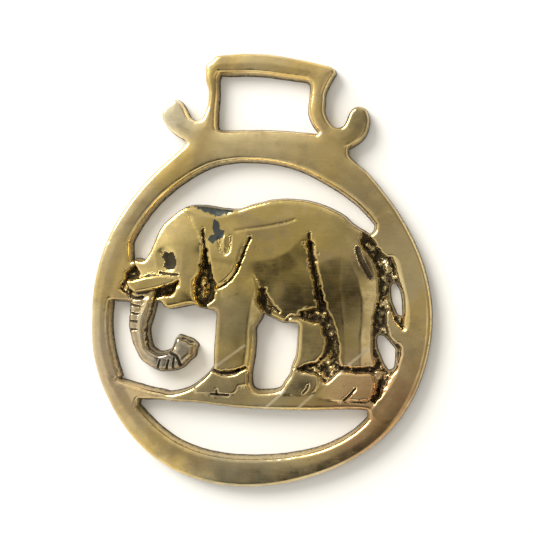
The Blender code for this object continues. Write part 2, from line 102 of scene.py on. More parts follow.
# Edges of the figure, from the centre of the opening
edges = {
    "back": [(-25.4, 10.6), (-24.7, 10.7), (-23.9, 10.7), (-22.4, 10.6), (-21.2, 12.2), (-20.5, 13.7),
             (-19.0, 17.0), (-16.8, 19.3), (-13.7, 21.3), (-10.3, 21.5), (-6.3, 20.9), (-3.3, 20.7),
             (-0.3, 21.6), (3.7, 22.5), (7.7, 22.6), (11.7, 22.0), (14.7, 21.0), (17.7, 19.4),
             (19.5, 17.7), (21.9, 16.2), (23.1, 15.5)],
    "headUnder": [(-27.5, 2.6), (-26.3, 2.5), (-25.5, 2.1)],
    "trunkOutside": [(-25.5, 2.1), (-25.6, -1.3), (-25.7, -2.6), (-25.3, -5.1), (-24.2, -8.2),
                     (-23.0, -9.7), (-20.3, -11.4), (-18.4, -11.6), (-16.3, -11.4), (-14.8, -10.7),
                     (-13.6, -9.5), (-12.5, -8.6)],
    "trunkEnd": [(-12.5, -8.6), (-12.3, -7.3), (-12.0, -6.5), (-13.2, -5.6), (-14.4, -5.2),
                 (-15.5, -4.7)],
    "trunkInside": [(-15.5, -4.7), (-16.1, -5.5), (-16.9, -7.4), (-17.8, -8.0), (-19.4, -8.3),
                    (-20.5, -7.8), (-21.5, -6.8), (-22.1, -3.8), (-21.7, -1.8), (-21.1, 0.1),
                    (-20.7, 1.8), (-20.5, 2.4)],
    "chinUnder": [(-20.5, 2.4), (-19.0, 2.4), (-18.0, 1.3), (-17.1, 1.1), (-15.0, 1.5), (-13.4, 1.8),
                  (-12.3, 1.9), (-11.3, 1.4), (-9.8, 1.1), (-8.2, 0.75)],
    "foreLegFront": [(-8.2, 0.75), (-7.6, 0.3), (-7.5, -1.0), (-7.7, -2.5), (-7.8, -4.5), (-8.0, -6.5),
                     (-8.1, -9.5), (-8.2, -10.9)],
    "groundFront": [(-8.2, -10.9), (-9.9, -12.9), (-12.1, -14.7), (-14.6, -15.9), (-17.3, -16.4),
                    (-19.0, -16.1), (-22.1, -15.5), (-24.2, -14.9), (-27.4, -14.0), (-28.2, -13.5)],
    "legGap": [(1.7, 0.1), (2.9, -0.3), (4.7, -1.1), (5.7, -1.5), (7.7, -1.6), (8.9, -2.1), (9.0, -3.5),
               (8.8, -5.5), (8.7, -7.5), (8.4, -9.1), (7.8, -10.5), (7.4, -12.1), (6.4, -13.7),
               (5.2, -15.3), (2.9, -15.8), (0.2, -15.7), (-0.9, -14.4), (-1.0, -12.1),
               (-0.7, -10.3), (-0.4, -8.3), (-0.2, -5.5), (-0.1, -2.9), (1.1, -0.9)],
    "tailGap": [(28.2, 6.4), (29.1, 5.3), (29.65, 3.6), (29.85, 1.5), (29.7, -0.6), (28.4, -0.5),
                (27.7, 0.8), (27.05, 2.4), (26.85, 4.0), (27.0, 5.8)],
    "heelGap": [(24.5, -4.1), (25.9, -4.1), (26.9, -5.0), (28.1, -6.4), (28.5, -7.3), (28.45, -9.6),
                (28.0, -11.1), (26.7, -11.6), (25.7, -10.5), (24.9, -8.7), (24.3, -7.2), (24.05, -5.5)],
    "groundUnder": [(-23.9, -17.6), (-22.9, -17.5), (-19.4, -17.5), (-16.9, -17.8), (-12.3, -18.0),
                    (-8.3, -18.4), (-3.3, -18.9), (1.7, -19.1), (7.7, -19.2), (13.7, -19.1),
                    (17.7, -18.9), (21.7, -19.0), (22.8, -19.4)],
}

# Raised forms. Where two overlap, the higher one shows. Each has its outline, its height
# and the width of its rounded edge. Its surface may fall away beyond lines: planes give a direction, how
# far out the fall starts, its slope and its softness. Facets give their crease, the rest of their
# region's corners, slope, softness, and the stretch along a direction over which the fall sets in.
forms = {
    "torso": {
        "outline": [(-13.3, 21.3), (-8.3, 22.4), (-3.3, 21.9), (1.7, 23.1), (5.7, 23.7), (9.7, 23.4),
                    (14.7, 21.9), (18.5, 19.6), (21.2, 16.0), (19.4, 12.6), (14.2, 11.0), (13.5, 5.0),
                    (13.4, 1.2), (10.7, 0.8), (8.8, -0.2), (7.7, -1.8), (5.9, -1.8), (4.7, 0.0),
                    (2.6, 0.9), (0.6, 3.2), (-6.8, 2.6), (-7.2, 6.0), (-10.2, 12.0), (-11.9, 16.0)],
        "height": 4.7, "edge": 1.2, "overRim": True,
        "planes": [((-0.18, 0.98), 16.8, 0.05, 0.3)],
        "facets": [
            ([(-13.4, 20.6), (-10.3, 19.6), (-7.7, 18.9), (-5.1, 19.3), (-2.0, 21.0)],
             [(-4.0, 24.0), (-14.0, 24.0)], 0.40, 0.5, ((0, 1), 18.0, 19.5)),
            ([(-9.0, 11.4), (-0.5, 10.7), (3.8, 11.2), (6.9, 12.6), (9.4, 15.0), (11.4, 16.4)],
             [(11.8, 13.0), (12.4, 9.0), (12.8, 5.0), (13.6, 1.0), (13.6, -4.0), (-9.0, -4.0)],
             0.13, 0.4, ((1, 0), -3.5, 1.0)),
        ],
    },
    "farLeg": {
        "outline": [(8.2, -1.6), (10.7, -1.6), (13.1, -1.7), (14.1, -3.6), (14.7, -5.9), (14.0, -8.0),
                    (12.6, -9.7), (9.4, -10.3), (7.6, -10.2), (7.8, -5.0)],
        "height": 4.1, "edge": 0.7, "overRim": True, "planes": [((0, -1), 2.0, 0.06, 1.0)],
    },
    "ground": {
        "outline": [(-32.0, -13.0), (-28.4, -14.4), (-24.2, -15.0), (-19.0, -16.0), (-14.4, -15.4),
                    (-12.0, -14.0), (-9.0, -11.8), (-1.8, -11.8), (-2.4, -14.2), (-0.9, -15.4), (3.7, -16.2),
                    (6.4, -14.6), (8.4, -12.2), (13.0, -12.4), (14.4, -13.8), (17.4, -11.8), (24.2, -12.0),
                    (24.4, -15.6), (23.2, -17.6), (25.4, -19.4), (12.7, -20.2), (1.7, -20.2), (-10.3, -19.3),
                    (-19.3, -18.6), (-26.3, -18.4), (-32.0, -19.0)],
        "height": 3.7, "edge": 0.6, "overRim": True,
        "planes": [((-1, 0), 16.0, 0.07, 1.5), ((1, 0), 17.0, 0.10, 1.5)],
    },
    "tailSide": {
        "outline": [(22.9, 15.8), (24.2, 13.7), (25.3, 12.1), (26.3, 11.4), (27.7, 11.2), (28.6, 10.1),
                    (29.2, 7.4), (29.8, 4.8), (30.4, 2.0), (30.6, -0.6), (30.3, -2.6), (29.7, -3.2),
                    (28.9, -2.3), (27.7, -0.4), (26.8, 1.6), (26.4, -0.9), (26.7, -3.7), (27.7, -5.4),
                    (29.0, -6.2), (29.3, -8.0), (28.7, -9.9), (28.0, -12.3), (26.2, -15.2), (23.9, -18.0),
                    (22.8, -20.0), (28.0, -21.0), (34.0, -8.0), (34.0, 8.0), (28.0, 20.0), (23.0, 18.0)],
        "height": 3.15, "edge": 0.5,
    },
    "headSide": {
        "outline": [(-24.9, 11.4), (-25.6, 9.6), (-26.2, 8.0), (-26.6, 6.6), (-27.6, 5.0), (-27.0, 3.6),
                    (-26.4, 2.6), (-27.4, 1.6), (-34.0, 2.0), (-34.0, 12.0), (-27.0, 13.5)],
        "height": 3.1, "edge": 0.5, "overRim": True,
    },
    "trunk": {
        "outline": [(-22.6, 7.0), (-24.9, 4.6), (-25.3, 1.9), (-25.6, 0.0), (-25.7, -3.0), (-24.2, -8.2),
                    (-22.0, -10.5), (-18.4, -11.6), (-15.2, -10.9), (-12.5, -8.6), (-12.0, -6.5),
                    (-14.4, -5.2), (-15.5, -4.7), (-16.9, -7.4), (-19.4, -8.3), (-21.5, -6.8),
                    (-22.1, -3.8), (-21.1, 0.1), (-20.3, 3.0), (-20.0, 7.0)],
        "height": 3.9, "edge": 1.6,
    },
    "foreLeg": {
        "outline": [(-7.3, 12.0), (-4.3, 12.6), (-1.5, 10.6), (0.4, 7.6), (1.1, 4.6), (0.8, 2.0),
                    (0.4, -1.0), (0.0, -4.0), (-0.6, -8.0), (-1.6, -11.2), (-8.2, -11.0), (-8.6, -5.4),
                    (-8.4, 0.6), (-8.0, 4.2), (-7.6, 8.0)],
        "height": 4.85, "edge": 0.7, "overRim": True,
        "planes": [((0, -1), -3.5, 0.06, 2.0), ((0, 1), 4.5, 0.12, 1.5)],
        "facets": [([(1.4, 9.0), (0.4, 6.0), (-0.6, 2.0), (-1.3, -2.0), (-1.6, -6.0), (-2.4, -12.5)],
                    [(3.0, -12.5), (3.0, 9.0)], 0.24, 0.2, ((0, -1), -7.0, -3.0))],
    },
    "hindLeg": {
        "outline": [(11.9, 16.3), (14.0, 20.4), (19.4, 19.0), (21.0, 16.4), (21.8, 13.4), (23.4, 11.4),
                    (24.7, 9.0), (25.0, 4.8), (24.6, 1.8), (23.8, -1.4), (23.7, -6.4), (24.1, -9.8),
                    (23.2, -10.6), (17.4, -10.5), (16.9, -7.0), (16.1, -2.8), (14.2, 1.9), (13.4, 4.8),
                    (12.5, 9.0), (11.9, 13.0)],
        "height": 5.0, "edge": 0.7,
        "planes": [((0, 1), 11.0, 0.075, 1.5), ((0, -1), 3.0, -0.085, 2.0)],
        "facets": [
            ([(10.0, 8.0), (12.4, 9.8), (14.7, 11.1), (17.3, 11.7), (20.6, 10.8), (28.0, 7.0)],
             [(28.0, -12.0), (10.0, -12.0)], 0.12, 0.4, ((0, -1), -14.0, -11.0)),
            ([(18.2, 13.0), (19.0, 10.4), (20.6, 7.2), (21.5, 3.0), (21.4, -1.0), (21.1, -4.8),
              (21.2, -13.0)], [(28.0, -13.0), (28.0, 13.0)], 0.24, 0.25, ((0, -1), -12.5, -7.0)),
        ],
    },
    "head": {
        "outline": [(-11.3, 22.4), (-15.4, 21.2), (-18.6, 19.0), (-20.9, 15.8), (-22.1, 12.3), (-23.2, 10.4),
                    (-23.5, 8.2), (-23.0, 6.6), (-15.9, 6.6), (-15.8, 5.3), (-16.4, 4.2), (-17.6, 3.3),
                    (-18.5, 2.2), (-18.0, 0.6), (-15.0, 0.6), (-12.4, 1.2), (-12.5, 3.0), (-11.9, 4.4),
                    (-11.7, 6.6), (-10.5, 8.4), (-10.0, 11.9), (-9.9, 15.0), (-8.0, 17.6), (-7.5, 21.0)],
        "height": 4.95, "edge": 1.0, "overRim": True,
        "planes": [((1, 0), -11.0, 0.05, 1.0), ((-0.8, 0.6), 15.5, 0.10, 2.5)],
        "facets": [
            ([(-14.2, 17.0), (-14.3, 11.2), (-14.7, 7.5), (-15.0, 5.0), (-18.5, 2.2)],
             [(-18.0, 0.0), (-9.0, 0.0), (-8.0, 17.0)], 0.13, 0.4, ((0, -1), -15.0, -11.0)),
            ([(-13.4, 20.6), (-10.3, 19.6), (-6.0, 18.3)], [(-6.0, 24.0), (-14.0, 24.0)], 0.40, 0.5,
             ((0, 1), 18.0, 19.5)),
        ],
    },
    "foreFoot": {
        "outline": [(-8.3, -11.6), (-6.4, -12.3), (-4.2, -12.2), (-1.8, -11.4), (-2.6, -14.0), (-3.6, -16.1),
                    (-5.8, -16.5), (-8.4, -16.5), (-11.4, -15.6), (-10.6, -13.6), (-9.6, -12.2)],
        "height": 4.05, "edge": 0.6, "overRim": True,
        "planes": [((0, -1), 13.0, 0.05, 0.8)],
    },
    "farFoot": {
        "outline": [(7.6, -11.8), (12.4, -11.9), (13.2, -13.6), (12.4, -15.6), (10.4, -16.4), (7.7, -16.4),
                    (6.0, -15.2)],
        "height": 4.0, "edge": 0.6, "overRim": True, "planes": [((0, -1), 13.5, 0.08, 0.6)],
    },
    "hindFoot": {
        "outline": [(17.3, -11.5), (21.1, -11.7), (23.4, -11.7), (24.2, -13.6), (23.6, -16.2), (22.8, -17.3),
                    (19.0, -17.5), (12.4, -17.0), (13.4, -15.2), (15.2, -13.2)],
        "height": 4.2, "edge": 0.6,
        "planes": [((0, 1), -16.5, 0.09, 1.0), ((-0.7, -0.3), -9.0, 0.10, 0.8)],
    },
    "tusk": {
        "outline": [(-25.9, 6.3), (-24.0, 6.8), (-22.0, 7.3), (-19.0, 7.7), (-17.0, 7.6), (-15.0, 7.1),
                    (-15.2, 6.6), (-16.6, 5.9), (-18.6, 5.2), (-21.0, 4.6), (-23.2, 4.2), (-24.4, 4.2)],
        "height": 5.1, "edge": 0.5,
        "facets": [([(-24.4, 3.6), (-22.2, 7.6)], [(-14.0, 8.4), (-14.0, 4.0), (-20.0, 3.2)],
                    0.05, 0.1, ((1, 0), -26.0, -23.0))],
    },
    "ear": {
        "outline": [(-10.2, 17.0), (-9.7, 14.6), (-9.2, 12.7), (-8.7, 9.8), (-8.4, 7.8), (-7.7, 6.1),
                    (-6.8, 5.7), (-5.3, 6.7), (-3.9, 8.2), (-3.1, 9.8), (-2.9, 11.2), (-2.2, 13.2),
                    (-0.9, 15.5), (-0.4, 17.4), (-3.6, 19.0), (-8.3, 19.0)],
        "height": 5.35, "edge": 0.45,
        "planes": [((0, 1), 9.5, 0.075, 2.0), ((-0.8, 0.6), 14.5, 0.12, 1.0), ((0.8, 0.6), 8.0, 0.12, 1.0)],
        "facets": [([(-9.2, 12.0), (-6.6, 11.0), (-3.9, 11.2), (-1.5, 9.6)], [(-4.0, 4.0), (-9.0, 4.0)],
                    0.11, 0.5, ((0, -1), -12.0, -9.0))],
    },
}

# Smooth cuts in the figure: line, depth and half width
cuts = {
    "socket": ([(-17.8, 11.7), (-17.5, 9.7)], 0.40, 2.0),
    "pupil": ([(-16.9, 11.3), (-16.7, 10.1)], 0.3, 1.1),
    "lidLine": ([(-18.9, 8.2), (-17.1, 7.9), (-15.3, 7.8)], 0.3, 0.3),
    "earFold": ([(-6.8, 15.0), (-6.6, 12.8), (-5.9, 11.9), (-5.1, 12.1), (-4.7, 13.0), (-4.5, 15.4)],
                0.22, 0.3),
    "rump": ([(20.8, 12.9), (21.4, 10.8), (22.4, 8.9), (23.3, 7.3)], 0.45, 0.6),
    "backLine": ([(-3.6, 16.5), (-1.0, 16.9), (2.6, 17.4), (6.0, 18.0), (8.4, 18.7)], 0.07, 0.35),
    "foreAnkle": ([(-8.6, -11.2), (-6.6, -12.0), (-4.4, -11.9), (-1.8, -10.9)], 0.9, 0.45),
    "foreToes": ([(-7.6, -15.4), (-7.4, -16.4)], 0.4, 0.28),
    "foreToesTwo": ([(-8.7, -16.2), (-5.2, -16.4)], 0.35, 0.28),
    "hindToes": ([(20.3, -14.7), (19.3, -15.9), (18.0, -17.1)], 0.5, 0.26),
    "hindToesTwo": ([(18.3, -17.1), (21.0, -17.3), (22.8, -17.1)], 0.4, 0.28),
    "farToes": ([(10.9, -14.2), (10.6, -15.0), (9.9, -15.8)], 0.3, 0.24),
    "trunkRingOne": ([(-25.0, 1.7), (-23.3, 1.4)], 0.25, 0.24),
    "trunkRingTwo": ([(-25.2, 0.1), (-23.6, -0.2)], 0.25, 0.24),
    "trunkRingThree": ([(-25.2, -1.6), (-23.8, -1.7)], 0.25, 0.24),
    "trunkRingFour": ([(-25.1, -3.3), (-23.9, -3.3)], 0.3, 0.24),
    "trunkRingFive": ([(-19.6, -11.2), (-19.1, -9.5)], 0.4, 0.26),
    "trunkRingSix": ([(-17.8, -11.3), (-17.3, -9.5)], 0.45, 0.26),
    "trunkRingSeven": ([(-16.5, -11.0), (-16.2, -9.0)], 0.45, 0.26),
    "trunkTip": ([(-17.0, -8.0), (-15.6, -8.8), (-15.0, -10.4)], 0.7, 0.36),
    "trunkTop": ([(-25.2, 3.5), (-24.0, 3.0), (-22.6, 3.2)], 0.6, 0.4),
}

# Rough cast hollows: line, depth and half width
roughCuts = {
    "flankTop": ([(11.1, 15.9), (11.2, 14.8), (11.4, 13.2)], 0.8, 0.32),
    "flank": ([(11.3, 14.0), (11.6, 11.4), (12.1, 8.6), (12.6, 6.0), (12.8, 3.6), (13.3, 1.2)], 1.5, 0.64),
    "neckTop": ([(-10.3, 16.6), (-10.0, 14.6), (-9.8, 12.4)], 0.9, 0.34),
    "neck": ([(-9.8, 12.8), (-9.8, 10.8), (-9.7, 9.2)], 1.8, 0.52),
    "neckFoot": ([(-9.8, 9.6), (-10.0, 7.4), (-10.2, 5.0)], 2.2, 1.0),
    "earSlit": ([(-0.6, 15.2), (-1.5, 13.2), (-2.3, 11.2), (-2.8, 9.6)], 0.9, 0.32),
    "underEar": ([(-2.8, 9.6), (-3.6, 8.0), (-4.9, 6.5), (-6.4, 5.4), (-7.8, 5.0)], 0.8, 0.27),
    "hindAnkle": ([(8.9, -11.0), (13.7, -11.0), (18.7, -11.0), (23.6, -11.1)], 0.9, 0.42),
    "armpit": ([(2.4, 3.6), (3.6, 1.6), (4.9, 0.4)], 0.8, 0.4),
    "armpitTwo": ([(1.7, 4.8), (1.9, 2.4), (2.8, 0.0)], 1.5, 0.7),
    "tailRoot": ([(21.9, 15.4), (22.8, 14.2), (24.0, 12.4), (24.6, 10.6)], 1.0, 0.55),
}

# Fine raised lines: line, height and half width
ridges = {
    "trunkCrest": ([(-21.3, 2.6), (-21.9, 1.0), (-22.6, -0.5), (-23.0, -2.0), (-23.0, -3.6),
                    (-22.7, -5.6), (-22.1, -7.3), (-20.3, -8.7), (-17.9, -8.6)], 0.35, 0.8),
    "earBead": ([(-5.7, 15.2), (-5.8, 14.0), (-5.7, 13.2)], 0.2, 0.5),
}

# Broad swells of the polished surfaces: centre, reach across and up, and height
swells = {
    "belly": ((8.0, 4.4), (3.6, 3.6), 0.22),
    "bellyCrest": ((7.9, 4.2), (1.8, 2.3), 0.08),
    "thighCrest": ((17.4, 4.4), (1.6, 3.6), 0.07),
    "loin": ((14.5, 15.0), (5.0, 3.6), 0.15),
    "thigh": ((17.6, 3.0), (3.0, 5.6), 0.14),
    "shoulder": ((-2.8, 6.5), (3.2, 5.0), 0.20),
    "brow": ((-17.0, 14.5), (4.0, 3.5), 0.25),
}

# How rough and worn the metal is, in millimetres
surface = {
    "pitDepth": 0.85,
    "pitSize": 1.1,
    "wave": 0.05,  # long waves that hand polishing leaves
    "waveSize": 9.0,
    "ripple": 0.018,
    "rippleSize": 3.2,
    "edgeJitter": 0.045,
    "jitterSize": 2.2,
    "wallRough": 0.03,
    "raggedEdge": 0.3,  # how far the forms' edges over the pitted floor stray
    "raggedSize": 1.0,
    "raggedBelow": 3.0,
    "hollowRounds": 14,
    "hollowDepth": 0.24,
    "floorGrime": 0.6,
    "floorFrom": 2.68,  # the height under which the cast floor is left dark
    "floorSpan": 0.5,  # how much lower it is at its darkest
    "floorGlints": 1.3,
    "glintSize": 1.0,
    "cutUneven": 0.7,  # how far the edges of the rough hollows stray
    "cutUnevenSize": 0.9,
    "ridgePower": 1.5,
    "cutPower": 1.2,
    "paleStreakWidth": 0.5,
    # how ragged and how fine the painted dark reflections on the nape are
    "napeReflectionRagged": 0.7,
    "napeReflectionGrain": 0.8,
    "eyeGrime": 1.5,
    "cutGrime": 1.1,
    "cutGrimeWidth": 1.4,
}

# Where in the noise each kind of unevenness is read, and how it falls off from octave to octave
seeds = {"pit": 0.5, "wave": 7.3, "ripple": 9.1, "cut": 3.1, "ragged": 4.4, "glint": 5.0, "jitter": 11.0,
         "napeReflection": 2.2}
fallOff, spread = 0.7, 2.1

# Places where the pitted floor lies higher: centre, reach and rise
floorRises = [((-26.0, 5.0), 2.6, 0.7), ((-18.6, 4.8), 2.4, 0.8), ((-10.3, 5.0), 1.8, 0.75),
              ((22.0, 13.0), 1.6, 0.6), ((14.0, -13.4), 2.0, 0.6)]

# Painted dark reflections on the nape's bevels, drawn as dark grey patches: outline, how dark and how soft
napeReflections = [
    ([(-7.9, 18.9), (-6.9, 18.3), (-6.7, 16.9), (-5.7, 16.7), (-5.9, 15.1), (-7.1, 14.8), (-8.1, 13.9),
      (-9.2, 14.8), (-8.5, 15.6), (-7.7, 15.8), (-8.2, 17.5)], 1.0, 0.25),
    ([(-12.6, 21.6), (-10.3, 20.2), (-7.7, 19.3), (-5.4, 19.5), (-4.0, 20.4), (-5.4, 22.0),
      (-12.0, 23.0)], 0.7, 0.8),
]

# The black in the eye's hollow, and the cuts that hold grime
eyeBlack = [(-18.6, 11.4), (-18.0, 12.5), (-17.2, 12.1), (-16.3, 12.3), (-15.8, 11.4), (-15.5, 9.9),
            (-16.0, 8.8), (-17.2, 8.7), (-18.3, 9.4), (-17.9, 10.4)]
darkCuts = ("rump", "lidLine", "trunkRingOne", "trunkRingTwo", "trunkRingThree", "trunkRingFour",
            "trunkRingFive", "trunkRingSix", "trunkRingSeven", "trunkTip", "trunkTop", "foreToesTwo",
            "hindToes", "farToes")

# Pale streaks across the front, from one end to the other
paleStreaks = [((-20.2, -19.6), (-1.8, -6.4)), ((2.2, -19.0), (6.2, -15.4)), ((8.7, -19.0), (11.7, -16.2)),
             ((17.2, -11.5), (22.7, -7.0))]

openingCentre = np.array(plate["openingCentre"])


def between(before, here, after, last, share):  # a point of the smooth curve from here to after
    return here + share / 2 * (after - before + share * (
        2 * before - 5 * here + 4 * after - last + share * (3 * (here - after) + last - before)))


def wander(angle, offsets):
    place = np.degrees(angle) % 360 / 360 * len(offsets)
    first = np.floor(place).astype(int)
    share = place - first
    return between(*(np.take(offsets, first + k, mode="wrap") for k in (-1, 0, 1, 2)), share)


def ringEdge(start, end, radius, centre, offsets):
    angles = np.radians(np.linspace(start, end, 160))
    reach = radius + wander(angles, offsets)
    return centre + reach[:, None] * np.stack([np.cos(angles), np.sin(angles)], -1)


def smoothRun(points, closed=False):  # a smooth curve through a few points
    points = np.asarray(points, float)
    if closed:
        points = np.concatenate([points[-1:], points, points[:2]])
    else:
        points = np.concatenate([2 * points[:1] - points[1:2], points, 2 * points[-1:] - points[-2:-1]])
    run = []
    share = np.linspace(0, 1, 12, endpoint=False)[:, None]
    for four in zip(points, points[1:], points[2:], points[3:]):
        run.append(between(*four, share))
    return np.concatenate(run if closed else run + [points[-2:-1]])


def evenly(run, step, closed=False):  # the same curve, with points at even distances
    if closed:
        run = np.concatenate([run, run[:1]])
    along = np.concatenate([[0], np.cumsum(np.linalg.norm(np.diff(run, axis=0), axis=1))])
    count = max(2, round(along[-1] / step))
    places = np.linspace(0, along[-1], count + 1)
    if closed:
        places = places[:-1]
    return np.stack([np.interp(places, along, run[:, k]) for k in (0, 1)], -1)


def joinedLoop(runs):
    return np.concatenate([evenly(run, casting["drawnStep"])[:-1] for run in runs])


def figure(points):
    return openingCentre + np.asarray(points, float)


def openingEdge(start, end):
    return ringEdge(start, end, plate["openingRadius"], openingCentre, openingWander)


def sideways(loop):
    ahead = np.roll(loop, -6, axis=0) - np.roll(loop, 6, axis=0)
    ahead /= np.linalg.norm(ahead, axis=1)[:, None]
    return np.stack([-ahead[:, 1], ahead[:, 0]], -1)


def openLoops():
    top = openingEdge(*plate["upperArc"])
    upper = joinedLoop([
        top,
        smoothRun(np.concatenate([top[-1:], figure(edges["back"][:2])])),
        smoothRun(figure(edges["back"][1:])),
        smoothRun(np.concatenate([figure(edges["back"][-1:]), figure([(24.1, 16.3)]), top[:1]])),
    ])
    left = openingEdge(*plate["leftArc"])
    runs = [left, smoothRun(np.concatenate([left[-1:], figure(edges["groundFront"][::-1])]))]
    for name in ("foreLegFront", "chinUnder", "trunkInside", "trunkEnd", "trunkOutside"):
        runs.append(smoothRun(figure(edges[name][::-1])))
    runs.append(smoothRun(np.concatenate([figure(edges["headUnder"][::-1]), left[:1]])))
    bottom = openingEdge(*plate["lowerArc"])
    lower = joinedLoop([
        bottom,
        smoothRun(np.concatenate([bottom[-1:], figure(edges["groundUnder"][::-1]), bottom[:1]])),
    ])
    gaps = [evenly(smoothRun(figure(edges[name]), True), casting["drawnStep"], True)[::-1]
            for name in ("legGap", "tailGap", "heelGap")]
    return [upper, joinedLoop(runs), lower] + gaps


def slotPoint(across, up, wall=(0, 0)):  # shares of the slot, and of the bars round it
    side = plate["rightPost"] if across > 0 else plate["leftPost"]
    foot = openingCentre[1] + plate["openingRadius"] + plate["slotFoot"]
    return (plate["slotShift"] + across * plate["slotWidth"] / 2 + wall[0] * side,
            foot + up * plate["slotHeight"] + wall[1] * plate["loopBar"])


def slotLoop():
    left = [slotPoint(-0.96, 1.05), slotPoint(-1.02, 0.93), slotPoint(-1.02, 0.66),
            slotPoint(-1.05, 0.31), slotPoint(-1.04, 0.06), slotPoint(-0.93, 0.0)]
    foot = [left[-1], slotPoint(-0.1, 0.0), slotPoint(0.39, -0.02), slotPoint(0.87, -0.06),
            slotPoint(1.14, -0.08)]
    right = [foot[-1], slotPoint(1.19, -0.02), slotPoint(1.07, 0.14), slotPoint(0.99, 0.34),
             slotPoint(1.02, 0.58), slotPoint(1.03, 0.82), slotPoint(0.94, 0.91)]
    top = [right[-1], slotPoint(0.55, 0.955), slotPoint(-0.11, 1.035), left[0]]
    return joinedLoop([smoothRun(run) for run in (left, foot, right, top)])


def hornPoints(root, points):
    return [tuple(np.array(root) + np.array(p) * plate["hornLength"] / plate["hornDrawn"]) for p in points]


def outerLoop():
    rightCrotch = slotPoint(1.84, -0.34)
    leftCrotch = slotPoint(-1.73, -0.16)
    loopTop = [slotPoint(1.03, 0.99, (1.7, 0)), slotPoint(1.0, 0.93, (1.6, 0.5)),
               slotPoint(0.9, 0.91, (1.0, 0.76)), slotPoint(0.55, 0.955, (0, 0.98)),
               slotPoint(0.08, 1.02, (0, 0.98)), slotPoint(-0.43, 1.035, (0, 1.0)),
               slotPoint(-0.76, 1.04, (0, 0.95)), slotPoint(-0.96, 1.05, (-0.3, 0.86)),
               slotPoint(-1.0, 1.04, (-0.7, 0.65)), slotPoint(-1.02, 1.05, (-1.15, 0.4)),
               slotPoint(-1.02, 0.93, (-1.25, 0.25))]
    leftFlank = [loopTop[-1], slotPoint(-1.02, 0.93, (-1.2, -0.1)), slotPoint(-1.02, 0.66, (-0.95, 0.2)),
                 slotPoint(-1.05, 0.45, (-0.9, 0.1)), slotPoint(-1.06, 0.31, (-1.2, 0.0)),
                 slotPoint(-1.1, 0.24, (-1.3, 0.0)), slotPoint(-1.22, 0.22, (-1.3, 0.0))]
    leftRoot = leftFlank[-1]
    leftHornTop = hornPoints(leftRoot, [(0, 0), (-1.0, 0.6), (-2.0, 2.5), (-2.9, 3.8), (-3.9, 4.4)])
    leftHornBack = hornPoints(leftRoot, [
        (-3.9, 4.4), (-5.2, 3.8), (-6.5, 2.7), (-7.0, 1.4), (-6.9, 0.3), (-6.4, -0.8), (-5.5, -1.9),
        (-4.3, -2.9)])
    leftHornBack.append(leftCrotch)
    ring = ringEdge(*plate["ringArc"], plate["ringRadius"], np.zeros(2), outerWander)
    leftShoulder = [leftCrotch, slotPoint(-1.76, -0.24), tuple(ring[0])]
    rightShoulder = [ring[-1], slotPoint(1.88, -0.48), rightCrotch]
    rightRoot = slotPoint(1.2, 0.08, (0.85, 0))
    rightHorn = [rightCrotch] + hornPoints(rightRoot, [
        (4.0, -4.4), (5.6, -3.4), (6.8, -2.1), (7.45, -0.4), (7.6, 1.1), (7.2, 2.7), (6.5, 3.6),
        (5.3, 3.9), (4.3, 3.6), (3.4, 2.7), (2.8, 1.2), (2.1, 0.0), (0.9, -0.2), (0, 0.15)])
    rightFlank = [rightHorn[-1], slotPoint(1.1, 0.19, (0.9, 0)), slotPoint(0.99, 0.34, (1.05, 0.0)),
                  slotPoint(1.02, 0.5, (0.98, 0.0)), slotPoint(1.03, 0.66, (1.0, 0.0)),
                  slotPoint(1.03, 0.8, (1.3, 0.1)), slotPoint(1.03, 0.9, (1.55, 0.15)), loopTop[0]]
    runs = [leftShoulder, ring, rightShoulder, rightHorn, rightFlank, loopTop, leftFlank, leftHornTop,
            leftHornBack]
    return joinedLoop([run if len(run) > 100 else smoothRun(run) for run in runs])


def inside(points, loop):
    low, high = loop.min(0), loop.max(0)
    result = np.zeros(len(points), bool)
    near = np.nonzero(((points > low) & (points < high)).all(1))[0]
    spots = points[near]
    hit = np.zeros(len(near), bool)
    for a, b in zip(loop, np.roll(loop, -1, axis=0)):
        if a[1] == b[1]:
            continue
        crosses = (a[1] > spots[:, 1]) != (b[1] > spots[:, 1])
        hit ^= crosses & (spots[:, 0] < a[0] + (spots[:, 1] - a[1]) / (b[1] - a[1]) * (b[0] - a[0]))
    result[near] = hit
    return result


def lineDistance(points, line, closed, reach):  # distance to a line, where it is under the reach
    low, high = line.min(0) - reach, line.max(0) + reach
    near = np.nonzero(((points > low) & (points < high)).all(1))[0]
    spots = points[near]
    best = np.full(len(near), np.inf)
    ends = np.roll(line, -1, axis=0) if closed else line[1:]
    for a, b in zip(line, ends):
        edge = b - a
        share = np.clip((spots - a) @ edge / max(edge @ edge, 1e-12), 0, 1)
        best = np.minimum(best, np.hypot(*(spots - a - share[:, None] * edge).T))
    result = np.full(len(points), np.inf)
    result[near] = best
    return result


def bell(away, power=1):  # 1 on a line, falling to 0 at its half width
    return np.clip(1 - away ** 2, 0, 1) ** power


def rounded(share, power):
    return (1 - (1 - np.clip(share, 0, 1)) ** power) ** (1 / power)


def softMax(a, b, softness):
    mix = np.clip(0.5 + (b - a) / (2 * softness), 0, 1)
    return a + (b - a) * mix + softness * mix * (1 - mix)


class Rims:
    # finds the nearest point of the rims and the way out of the metal there
    def __init__(self, loops):
        points = np.concatenate(loops)
        self.points = points
        self.out = np.concatenate([-sideways(loops[0])] + [sideways(loop) for loop in loops[1:]])
        self.tree = kdtree.KDTree(len(points))
        for number, (x, y) in enumerate(points):
            self.tree.insert((x, y, 0), number)
        self.tree.balance()

    def nearest(self, spots):
        found = [self.tree.find((x, y, 0)) for x, y in spots]
        return np.array([f[1] for f in found]), np.array([f[2] for f in found])


def grain(points, size, kind, octaves=3):  # uneven values around nought, for each point
    return np.array([noise.fractal(Vector((x / size, y / size, seeds[kind])), fallOff, spread, octaves)
                     for x, y in points])


